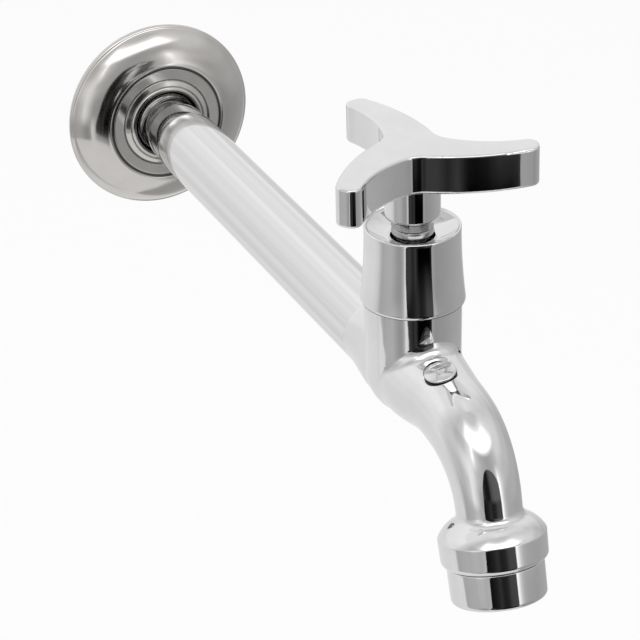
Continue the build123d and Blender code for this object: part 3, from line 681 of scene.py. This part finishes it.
def makePipe():
    shankRadius, shankEnd = pipe["shank"]
    waistRadius, waistEnd = pipe["waist"]
    collarRadius, collarEnd = pipe["collar"]
    spigotRadius, spigotEnd = pipe["spigot"]
    leadIn, leadLength = pipe["leadIn"]
    flare, flareLength = pipe["flare"]
    start = -pipe["threadLength"]
    core = pipe["threadCore"]
    edge = 0.15
    outline = roundedOutline([
        (pipe["bore"], start, edge),
        (core - leadIn, start, edge),
        (core, start + leadLength, edge),
        (core, -pipe["runOut"], edge),
        (shankRadius, 0.0, edge),
        (shankRadius, shankEnd, 0.3),
        (waistRadius + flare, shankEnd + flareLength, 1.2),
        (waistRadius, waistEnd - pipe["waistRun"], 2.0),
        (waistRadius, waistEnd, 0.4),
        (collarRadius, waistEnd, 0.45),
        (collarRadius, collarEnd, 0.3),
        (pipe["radius"], collarEnd + pipe["shoulder"], 0.35),
        (pipe["radius"], pipe["end"], 0.08),
        (spigotRadius, pipe["end"], 0.1),
        (spigotRadius, spigotEnd, 0.3),
        (pipe["bore"], spigotEnd, 0.2),
    ])
    return turnedPiece("supplyPipe", outline, wallPlace, tubeChrome)


escutcheon = {
    "radius": 30.99,
    "rim": 2.2,
    "rimRound": (0.8, 0.4),
    "lip": (19.6, 9.45),
    "lipOutside": (0.6, 0.15),
    "lipInside": (0.95, 0.12),
    "ring": (18.3, 14.9, 9.25),
    "coneFoot": (14.3, 9.05),
    "coneTop": (12.2, 10.0),
    "throat": (10.78, 10.3),
    "throatDepth": 3.8,
    "emboss": 0.6,
    "domeRise": 1.42,
    "backMiddle": (25.6, 5.95),
    "sheet": {"throat": 1.0, "ring": 0.8, "coneFoot": 1.2, "rest": 1.3},
}


def makeEscutcheon():
    lipRadius, lipHeight = escutcheon["lip"]
    outer, inner, ringHeight = escutcheon["ring"]
    groove = ringHeight - escutcheon["emboss"]
    coneFootRadius, coneFoot = escutcheon["coneFoot"]
    coneTopRadius, coneTop = escutcheon["coneTop"]
    throatRadius, throatTop = escutcheon["throat"]
    throatFoot = throatTop - escutcheon["throatDepth"]
    edge = escutcheon["radius"]
    rim = escutcheon["rim"]
    rimIn, rimUp = escutcheon["rimRound"]
    outside, outsideDrop = escutcheon["lipOutside"]
    inside, insideDrop = escutcheon["lipInside"]
    plateStart = (edge - rimIn, rim + rimUp)
    plateEnd = (lipRadius + outside, lipHeight - outsideDrop)
    lipEnd = (outer + inside, lipHeight - insideDrop)
    chord = Vector(plateEnd) - Vector(plateStart)
    bulge = Vector((-chord.y, chord.x)).normalized() * -escutcheon["domeRise"]
    middle = (Vector(plateStart) + Vector(plateEnd)) / 2 + bulge
    front = [(edge - 0.5, 0.0)]
    front += arcPoints((edge, rim - rimIn), (edge - 0.18, rim - 0.05), plateStart, 6)
    front += arcPoints(plateStart, tuple(middle), plateEnd, 28)[1:]
    front += arcPoints(plateEnd, (lipRadius, lipHeight), lipEnd, 6)[1:]
    front += roundedOutline([
        (*lipEnd, 0),
        (outer + 0.4, groove, 0.2),
        (outer, ringHeight, 0.14),
        (inner, ringHeight, 0.14),
        (inner - 0.3, groove + 0.1, 0.16),
        (coneFootRadius, coneFoot, 0.16),
        (coneTopRadius, coneTop, 0.3),
    ])[1:]
    throatStart = (coneTopRadius - 0.3, coneTop + 0.1)
    front += arcPoints(throatStart, (throatRadius + 0.6, throatTop), (throatRadius, throatTop - 0.5), 6)
    front += [(throatRadius, throatFoot)]
    sheet = escutcheon["sheet"]
    backThroat = throatRadius + sheet["throat"]
    backLip = (lipRadius + 0.1, lipHeight - sheet["rest"])
    back = [
        (backThroat, throatFoot),
        (backThroat, coneTop - sheet["rest"]),
        (coneFootRadius, coneFoot - sheet["coneFoot"]),
        (inner, groove - sheet["ring"]),
        (outer + 0.3, groove - sheet["ring"]),
    ]
    back += arcPoints(backLip, escutcheon["backMiddle"], (edge - 1.8, rim - 0.5), 12)
    back += [(edge - 1.5, 0.0)]
    return turnedPiece("coverPlate", front + back, wallPlace, sheetChrome, 224)


bell = {
    "foot": 22.3,
    "footRadius": 14.4,
    "waist": 0.32,
    "rimRadius": 13.25,
    "rimHeight": 44.2,
    "lip": 0.35,
    "dish": (7.5, 2.9),
    "dishSag": 0.36,
    "hole": 6.1,
    "wall": 1.1,
    "innerCorner": 1.5,
    "thread": (12.08, 5.0),
}


def makeBell():
    foot = bell["foot"]
    top = bell["rimHeight"]
    footRadius = bell["footRadius"]
    rim = bell["rimRadius"]
    lip = bell["lip"]
    hole = bell["hole"]
    wall = bell["wall"]
    corner = bell["innerCorner"]
    threadRadius, threadLength = bell["thread"]
    dishRadius, dishDepth = bell["dish"]
    floorHeight = top - dishDepth
    rimInside = rim - 2 * lip
    waist = ((footRadius + rim) / 2 - bell["waist"], (foot + top) / 2)
    halfDish = ((rimInside + dishRadius) / 2, floorHeight + dishDepth * bell["dishSag"])
    outline = roundedOutline([(threadRadius, foot, 0.2), (footRadius, foot, 0.22)])[:-1]
    outline += arcPoints((footRadius, foot + 0.3), waist, (rim, top - lip), 28)
    outline += arcPoints((rim, top - lip), (rim - lip, top), (rimInside, top - lip), 8)[1:]
    outline += arcPoints((rimInside, top - lip), halfDish, (dishRadius, floorHeight), 12)[1:]
    outline += [
        (hole + 0.15, floorHeight - 0.05),
        (hole, floorHeight - 0.25),
        (hole, floorHeight - wall),
        (rim - wall - corner, floorHeight - wall),
        (rim - wall, floorHeight - wall - corner),
        (footRadius - wall - bell["waist"], foot + threadLength + 1.0),
        (threadRadius, foot + threadLength),
    ]
    return turnedPiece("bell", outline, valvePlace, turnedChrome)


# The spout's centre line: distances in mm, angles in degrees, downwards from level. Its first run goes
# back over the leg's socket by legReach.
spout = {
    "legReach": 60.0,
    "run": 16.15,
    "bends": [(53.5, 14.5), (22.5, 60.5)],
    "tail": 16.5,
    "pipeRadius": 10.5,
    "belly": (5.0, 12.3),
    "mid": (24.0, 10.3),
    "endRadius": 9.0,
    "joint": 24.0,
}


def ahead(angle):
    return np.array([math.cos(angle), -math.sin(angle)])


def above(angle):
    return np.array([math.sin(angle), math.cos(angle)])


def spoutRuns():
    # The runs of the centre line in (outwards, up) coordinates. A straight one has its start, angle,
    # length, distance from the line's start and no turn; a bend has its centre and radius in their place.
    here = np.array([0.0, 0.0])
    angle = 0.0
    done = 0.0
    runs = []
    for size, degrees in [(spout["run"], 0), *spout["bends"], (spout["tail"], 0)]:
        turn = math.radians(degrees)
        if turn:
            centre = here - size * above(angle)
            runs.append((centre, angle, size, done, turn))
            angle += turn
            here = centre + size * above(angle)
            done += size * turn
        else:
            runs.append((here, angle, size, done, turn))
            here = here + size * ahead(angle)
            done += size
    return runs, here, done


spoutPieces, spoutEnd, spoutLength = spoutRuns()
outletPlace = Matrix.Translation((0, -(valveReach + spoutEnd[0]) * mm, spoutEnd[1] * mm))
outletPlace = outletPlace @ rotation(-outletTilt, "X")


def spoutPlace(distance):
    # Frame on the centre line: +Z along it, +Y away from its bends
    for anchor, angle, size, done, turn in spoutPieces:
        if distance <= done + size * (turn or 1):
            break
    if turn:
        angle += (distance - done) / size
        here = anchor + size * above(angle)
    else:
        here = anchor + (distance - done) * ahead(angle)
    along = Vector((0, -math.cos(angle), -math.sin(angle)))
    side = Vector((1, 0, 0))
    frameTurn = Matrix((side, along.cross(side), along)).transposed().to_4x4()
    return Matrix.Translation((0, -(valveReach + here[0]) * mm, here[1] * mm)) @ frameTurn


aerator = {
    "radius": 13.25,
    "footRadius": 13.08,
    "length": 10.45,
    "seam": 0.25,
    "neck": (11.92, 5.4),
    "bore": 10.6,
    "mouth": 9.7,
    "lip": 1.4,
    "footRound": 1.2,
}


def makeAerator():
    neckRadius, neckTop = aerator["neck"]
    foot = -aerator["length"]
    outline = roundedOutline([
        (aerator["bore"], neckTop, 0.1),
        (neckRadius, neckTop, 0.1),
        (neckRadius, -aerator["seam"], 0.05),
        (aerator["radius"], -aerator["seam"], 0.3),
        (aerator["footRadius"], foot, aerator["footRound"]),
        (aerator["mouth"], foot, 0.25),
        (aerator["mouth"], foot + aerator["lip"], 0.1),
        (aerator["bore"], foot + aerator["lip"], 0.1),
    ], 8)
    return turnedPiece("aeratorRing", outline, outletPlace, outletChrome)


# seatRoom: how far round the radius and above or below the seat the body keeps the CAD's shape
plug = {
    "reach": 20.6,
    "lean": 13.0,
    "radius": 4.45,
    "seat": 9.2,
    "seatRoom": (1.5, 0.3),
    "washer": 0.4,
    "edge": 1.1,
    "dome": 1.2,
    "stem": 2.6,
    "stemLength": 3.4,
    "undercut": 0.4,
}
plugPlace = spoutPlace(plug["reach"]) @ rotation(plug["lean"], "Z") @ rotation(-90, "X")


def makePlug():
    base = plug["seat"] + plug["washer"]
    edge = base + plug["edge"]
    radius = plug["radius"]
    neck = radius - plug["undercut"]
    stem = plug["stem"]
    foot = plug["seat"] - plug["stemLength"]
    domeRadius = (radius**2 + plug["dome"] ** 2) / (2 * plug["dome"])
    centre = edge + plug["dome"] - domeRadius
    halfway = radius * 0.55   # any point between the dome's edge and its middle gives the same arc
    halfHeight = centre + math.sqrt(domeRadius**2 - halfway**2)
    outline = [(0.0, foot), (stem - 0.2, foot), (stem, foot + 0.2), (stem, base), (neck, base)]
    outline += [(neck, edge - 0.45), (radius, edge - 0.35), (radius, edge - 0.1), (radius - 0.02, edge)]
    outline += arcPoints((radius, edge), (halfway, halfHeight), (0.0, edge + plug["dome"]), 16)[1:]
    return turnedPiece("channelPlug", outline, plugPlace, plugChrome, 128)


def threadTree():
    # A pointed ridge wound round the Z axis, one turn for each pitch
    lengths = {name: "Float" for name in thread["lengths"]}
    tree, given = newTree("pipeThread", {**lengths, "Turns": "Float", "Finish": "Material"})
    turns = given["Turns"]
    radius = given["Radius"]
    length = addNode(tree, "ShaderNodeMath", {0: given["Pitch"], 1: turns}, operation="MULTIPLY")
    path = addNode(tree, "GeometryNodeCurveSpiral", {
        "Resolution": 64, "Rotations": turns, "Start Radius": radius, "End Radius": radius, "Height": length,
    })
    path = addNode(tree, "GeometryNodeSetCurveNormal", {"Curve": path}, mode="Z_UP")
    section = addNode(tree, "GeometryNodeCurvePrimitiveCircle", {"Resolution": 3, "Radius": given["Ridge"]})
    inputs = {"Curve": path, "Profile Curve": section, "Fill Caps": True}
    return endTree(tree, addNode(tree, "GeometryNodeCurveToMesh", inputs), given["Finish"])


# G 1/2: 14 threads to the inch. The lengths have the names of the tree's inputs.
thread = {
    "lengths": {"Radius": 9.51, "Pitch": 1.814, "Ridge": 0.95},
    "turns": 6.6,
    "start": -13.1,
}


def makeThread():
    values = {name: length * mm for name, length in thread["lengths"].items()}
    values.update({"Turns": thread["turns"], "Finish": tubeChrome})
    place = wallPlace @ Matrix.Translation((0, 0, thread["start"] * mm))
    return grownPiece("pipeThread", [], threadTree(), values, place)


def screenTree():
    # Plain-woven wire cloth cut to a disc, with a round rim, and a second one above it
    lengths = {name: "Float" for name in screens["lengths"]}
    tree, given = newTree("wovenScreens", {**lengths, "Wires": "Int", "Finish": "Material"})
    spacing = given["Spacing"]
    side = given["Wires"]
    for operation, value in (("SUBTRACT", 1.0), ("MULTIPLY", 0.5), ("MULTIPLY", spacing)):
        side = addNode(tree, "ShaderNodeMath", {0: side, 1: value}, operation=operation)
    back = addNode(tree, "ShaderNodeMath", {0: side, 1: -1.0}, operation="MULTIPLY")
    first = addNode(tree, "ShaderNodeCombineXYZ", {"X": back})
    step = addNode(tree, "ShaderNodeCombineXYZ", {"X": spacing})
    inputs = {"Count": given["Wires"], "Start Location": first, "Offset": step}
    row = addNode(tree, "GeometryNodeMeshLine", inputs)
    start = addNode(tree, "ShaderNodeCombineXYZ", {"Y": back})
    end = addNode(tree, "ShaderNodeCombineXYZ", {"Y": side})
    wire = addNode(tree, "GeometryNodeCurvePrimitiveLine", {"Start": start, "End": end})
    points = addNode(tree, "ShaderNodeMath", {0: given["Wires"], 1: 6.0, 2: 1.0}, operation="MULTIPLY_ADD")
    wire = addNode(tree, "GeometryNodeResampleCurve", {"Curve": wire, "Count": points})
    wires = addNode(tree, "GeometryNodeInstanceOnPoints", {"Points": row, "Instance": wire})
    wires = addNode(tree, "GeometryNodeRealizeInstances", {"Geometry": wires})
    place = addNode(tree, "GeometryNodeInputPosition")
    axes = addNode(tree, "ShaderNodeSeparateXYZ", {0: place}).outputs
    # Over one wire and under the next, and the neighbour the other way round
    wave = [("ADD", axes["Y"]), ("DIVIDE", spacing), ("MULTIPLY", math.pi), ("COSINE", 0.0)]
    lift = axes["X"]
    for operation, value in wave + [("MULTIPLY", given["Wire"])]:
        lift = addNode(tree, "ShaderNodeMath", {0: lift, 1: value}, operation=operation)
    offset = addNode(tree, "ShaderNodeCombineXYZ", {"Z": lift})
    wires = addNode(tree, "GeometryNodeSetPosition", {"Geometry": wires, "Offset": offset})
    reach = addNode(tree, "ShaderNodeVectorMath", {0: place}, operation="LENGTH").outputs["Value"]
    outside = addNode(tree, "ShaderNodeMath", {0: reach, 1: given["Radius"]}, operation="GREATER_THAN")
    inputs = {"Geometry": wires, "Selection": outside}
    wires = addNode(tree, "GeometryNodeDeleteGeometry", inputs, domain="POINT")
    inputs = {"Geometry": wires, "Rotation": (0.0, math.pi, math.pi / 2)}
    crossed = addNode(tree, "GeometryNodeTransform", inputs)
    rim = addNode(tree, "GeometryNodeCurvePrimitiveCircle", {"Resolution": 96, "Radius": given["Radius"]})
    net = addNode(tree, "GeometryNodeJoinGeometry", {0: [wires, crossed, rim]})
    upper = addNode(tree, "ShaderNodeCombineXYZ", {"Z": given["Gap"]})
    inputs = {"Geometry": net, "Translation": upper, "Rotation": (0.0, 0.0, math.pi / 4)}
    second = addNode(tree, "GeometryNodeTransform", inputs)
    both = addNode(tree, "GeometryNodeJoinGeometry", {0: [net, second]})
    section = addNode(tree, "GeometryNodeCurvePrimitiveCircle", {"Resolution": 6, "Radius": given["Wire"]})
    inputs = {"Curve": both, "Profile Curve": section, "Fill Caps": True}
    solid = addNode(tree, "GeometryNodeCurveToMesh", inputs)
    solid = addNode(tree, "GeometryNodeSetShadeSmooth", {"Geometry": solid, "Shade Smooth": True})
    return endTree(tree, solid, given["Finish"])


# Wire cloth of about 25 wires to the inch; the height of the lower screen's middle counts from the seam
screens = {
    "lengths": {"Radius": 9.4, "Spacing": 1.0, "Wire": 0.14, "Gap": 0.8},
    "wires": 19,
    "height": -4.75,
}


def makeScreens():
    values = {name: length * mm for name, length in screens["lengths"].items()}
    values.update({"Wires": screens["wires"], "Finish": stainlessSteel})
    place = outletPlace @ Matrix.Translation((0, 0, screens["height"] * mm))
    return grownPiece("aeratorScreens", [], screenTree(), values, place)


# The body's outer skin as a set of distances, in mm. Each form gives, for a list of points, the distance
# to its surface (negative inside) and the direction straight out of it. skinDepth, and filletDepth in the
# neckHeights, is how far a point of the casting may lie off the form and still belong to the skin.
body = {
    "neckRadius": 13.4,
    "neckDraft": 0.25,
    "neckTop": 22.2,
    "domeCentre": 0.5,
    "neckFillet": 4.0,
    "neckHeights": (6.0, 21.5),
    "bossFoot": 14.57,
    "bossRadius": 14.77,
    "bossHeight": 7.5,
    "bossShoulder": 12.3,
    "bossCrown": 0.8,
    "bossCorner": 0.9,
    "bossFootRound": 1.6,
    "bossFillet": 2.4,
    "longestEdge": 1.3,
    "skinDepth": 0.5,
    "filletDepth": 1.9,
    "facing": 0.6,
    "rounds": 6,
}


def unit(vectors):
    return vectors / np.maximum(np.linalg.norm(vectors, axis=1), 1e-9)[:, None]


# Cosines between two forms' directions out; beyond them the ball's place isn't sharp
cosines = (-0.9, 0.999)


def roundJoin(first, second, radius):
    # Both forms together, with a ball of that radius rolled along the corner between them
    (a, na), (b, nb) = first, second
    c = np.clip((na * nb).sum(1), *cosines)
    u = radius - a
    v = radius - b
    la = (u - c * v) / (1 - c * c)
    lb = (v - c * u) / (1 - c * c)
    mixed = la[:, None] * na + lb[:, None] * nb
    length = np.linalg.norm(mixed, axis=1)
    rolled = (la > 0) & (lb > 0)
    near = np.where((a < b)[:, None], na, nb)
    return np.where(rolled, radius - length, np.minimum(a, b)), np.where(rolled[:, None], unit(mixed), near)


def roundMeet(first, second, radius):
    # What is inside both forms, with a rounded edge
    value, out = roundJoin((-first[0], -first[1]), (-second[0], -second[1]), radius)
    return -value, -out


def tubeWidth(s):
    bellyHalf, bellyRadius = spout["belly"]
    midReach, midRadius = spout["mid"]
    steps = [
        (-spout["joint"], spout["pipeRadius"], -bellyHalf, bellyRadius),
        (bellyHalf, bellyRadius, midReach, midRadius),
        (midReach, midRadius, spoutLength - body["bossShoulder"], spout["endRadius"]),
    ]
    radius = np.full_like(s, spout["pipeRadius"])
    for start, first, end, last in steps:
        t = np.clip((s - start) / (end - start), 0, 1)
        radius += (last - first) * t * t * (3 - 2 * t)
    return radius


def tubeForm(p):
    # The leg, belly and spout round their centre line
    flat = np.stack([-p[:, 1] - valveReach, p[:, 2]], 1)
    best = np.full(len(p), np.inf)
    along = np.zeros(len(p))
    angles = np.zeros(len(p))
    offset = np.zeros((len(p), 2))
    for anchor, angle, size, done, turn in spoutPieces:
        arm = flat - anchor
        if turn:
            swung = np.clip(np.arctan2(arm[:, 0], arm[:, 1]), angle, angle + turn)
            foot = anchor + size * np.stack([np.sin(swung), np.cos(swung)], 1)
            s = done + size * (swung - angle)
        else:
            t = np.clip(arm @ ahead(angle), -spout["legReach"] if done == 0 else 0, size)
            swung = np.full(len(p), angle)
            foot = anchor + t[:, None] * ahead(angle)
            s = done + t
        away = flat - foot
        distance = np.hypot(away[:, 0], away[:, 1])
        closer = distance < best
        for kept, found in ((best, distance), (along, s), (angles, swung), (offset, away)):
            kept[closer] = found[closer]
    radial = np.stack([p[:, 0], -offset[:, 0], offset[:, 1]], 1)
    distance = np.linalg.norm(radial, axis=1)
    step = 0.05
    slope = (tubeWidth(along + step) - tubeWidth(along - step)) / (2 * step)
    forward = np.stack([np.zeros(len(p)), -np.cos(angles), -np.sin(angles)], 1)
    value = (distance - tubeWidth(along)) / np.sqrt(1 + slope**2)
    return value, unit(unit(radial) - slope[:, None] * forward)


def neckForm(p):
    # The upright neck with its round foot
    q = p + np.array([0, valveReach, -body["domeCentre"]])
    foot = body["neckRadius"] - body["neckDraft"]
    slope = body["neckDraft"] / (body["neckTop"] - body["domeCentre"])
    low = np.minimum(q[:, 2], 0)
    radial = np.stack([q[:, 0], q[:, 1], low], 1)
    radius = foot + slope * np.maximum(q[:, 2], 0)
    out = unit(radial)
    out[:, 2] -= np.where(q[:, 2] > 0, slope, 0)
    return np.linalg.norm(radial, axis=1) - radius, unit(out)


def bossForm(p):
    # The turned boss at the spout's end
    axis = np.array([0, *above(math.radians(outletTilt))])
    footRadius = body["bossFoot"]
    crown = body["bossCrown"]
    q = p - np.array([0, -(valveReach + spoutEnd[0]), spoutEnd[1]])
    h = q @ axis
    across = q - h[:, None] * axis
    r = np.linalg.norm(across, axis=1)
    out = unit(across)
    lean = (body["bossRadius"] - footRadius) / body["bossHeight"]
    side = ((r - footRadius - lean * h) / math.sqrt(1 + lean**2), unit(out - lean * axis))
    start = np.array([body["bossRadius"], body["bossHeight"]])
    end = np.array([spout["endRadius"], body["bossShoulder"]])
    chord = end - start
    half = np.linalg.norm(chord) / 2
    outward = np.array([chord[1], -chord[0]]) / (2 * half)
    reach = (half**2 + crown**2) / (2 * crown)
    centre = (start + end) / 2 - outward * (reach - crown)
    dr = r - centre[0]
    dh = h - centre[1]
    top = (np.hypot(dr, dh) - reach, unit(dr[:, None] * out + dh[:, None] * axis))
    bottom = (-h, np.tile(-axis, (len(p), 1)))
    return roundMeet(roundMeet(side, top, body["bossCorner"]), bottom, body["bossFootRound"])


def bodyForm(p):
    joined = roundJoin(tubeForm(p), neckForm(p), body["neckFillet"])
    return roundJoin(joined, bossForm(p), body["bossFillet"])


def nearSkin(p, values):
    # The casting's fillet round the neck is wider than the one seen, so its points may lie further off.
    # The plug's seat lies just under the skin and stays where it is.
    low, high = body["neckHeights"]
    atNeck = (p[:, 2] > low) & (p[:, 2] < high)
    near = np.abs(values) < np.where(atNeck, body["filletDepth"], body["skinDepth"])
    turn = np.array(plugPlace.to_3x3())
    local = (p - np.array(plugPlace.translation) / mm) @ turn
    beside, above = plug["seatRoom"]
    overSeat = np.hypot(local[:, 0], local[:, 1]) < plug["radius"] + beside
    return near & ~(overSeat & (np.abs(local[:, 2] - plug["seat"]) < above))


def skinOf(work):
    # The mesh's corners in mm, their distances and directions, and which faces belong to the outer skin
    work.verts.ensure_lookup_table()
    corners = np.array([v.co[:] for v in work.verts]) / mm
    values, outs = bodyForm(corners)
    near = nearSkin(corners, values)
    skin = []
    for face in work.faces:
        good = all(near[v.index] for v in face.verts)
        if good:
            out = sum((Vector(outs[v.index]) for v in face.verts), Vector())
            good = out.normalized().dot(face.normal) > body["facing"]
        skin.append(good)
    return corners, values, outs, skin


def makeBody():
    # The casting keeps the CAD's bores; its outer skin is divided finely and laid on the smooth form
    work = bmesh.new()
    work.from_mesh(nodes["valve_body"].data)
    bmesh.ops.remove_doubles(work, verts=work.verts, dist=0.001 * mm)
    longest = body["longestEdge"] * mm
    for _ in range(body["rounds"]):
        outer = set()
        for face, good in zip(work.faces, skinOf(work)[3]):
            if good:
                outer.update(e for e in face.edges if e.calc_length() > longest)
        if not outer:
            break
        bmesh.ops.subdivide_edges(work, edges=list(outer), cuts=1)
        bmesh.ops.triangulate(work, faces=[f for f in work.faces if len(f.verts) > 3])
        work.verts.index_update()
    corners, values, outs, skin = skinOf(work)
    onSkin = np.zeros(len(corners), bool)
    for face, good in zip(work.faces, skin):
        if good:
            onSkin[[v.index for v in face.verts]] = True
    for _ in range(2):
        corners[onSkin] -= values[onSkin, None] * outs[onSkin]
        values, outs = bodyForm(corners)
    for v in work.verts:
        v.co = corners[v.index] * mm
    work.normal_update()
    mesh = bpy.data.meshes.new("tapBody")
    work.to_mesh(mesh)
    work.free()
    mesh.polygons.foreach_set("use_smooth", [True] * len(mesh.polygons))
    directions = []
    for face, good in zip(mesh.polygons, skin):
        flat = face.normal[:]
        directions += [tuple(outs[index]) if good else flat for index in face.vertices]
    mesh.normals_split_custom_set(directions)
    mesh.materials.append(castChrome)
    return addObject("tapBody", mesh)


def settle(piece, node):
    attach(piece, "tap_body")
    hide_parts(node)


settle(makeBody(), "valve_body")
print("body ready")
settle(makePipe(), "inlet_pipe")
settle(makeThread(), "inlet_pipe")
settle(makeEscutcheon(), "escutcheon")
settle(makeBell(), "bonnet_cover")
settle(makeAerator(), "aerator_housing")
settle(makePlug(), "channel_plug")
print("turned pieces ready")
settle(makeScreens(), "aerator_screens")
print("screens ready")

# The other CAD pieces keep their shape and get their finish
finishes = [
    (castChrome, ["handle"]),
    (nickelledBrass, ["headwork_housing", "spindle", "spline_adapter"]),
    (stainlessSteel, ["handle_screw", "spindle_clip", "seal_support_ring"]),
    (whiteCeramic, ["moving_disc", "fixed_disc"]),
    (whitePlastic, ["slide_washer", "aerator_cage", "flow_disc"]),
    (blackRubber, ["seat_seal", "pipe_seal", "plug_washer", "headwork_gasket", "spindle_o_rings"]),
    (blackRubber, ["aerator_gasket", "escutcheon_grip_ring"]),
]
for finish, names in finishes:
    for name in names:
        nodes[name].data.materials.clear()
        nodes[name].data.materials.append(finish)
print("finishes on")
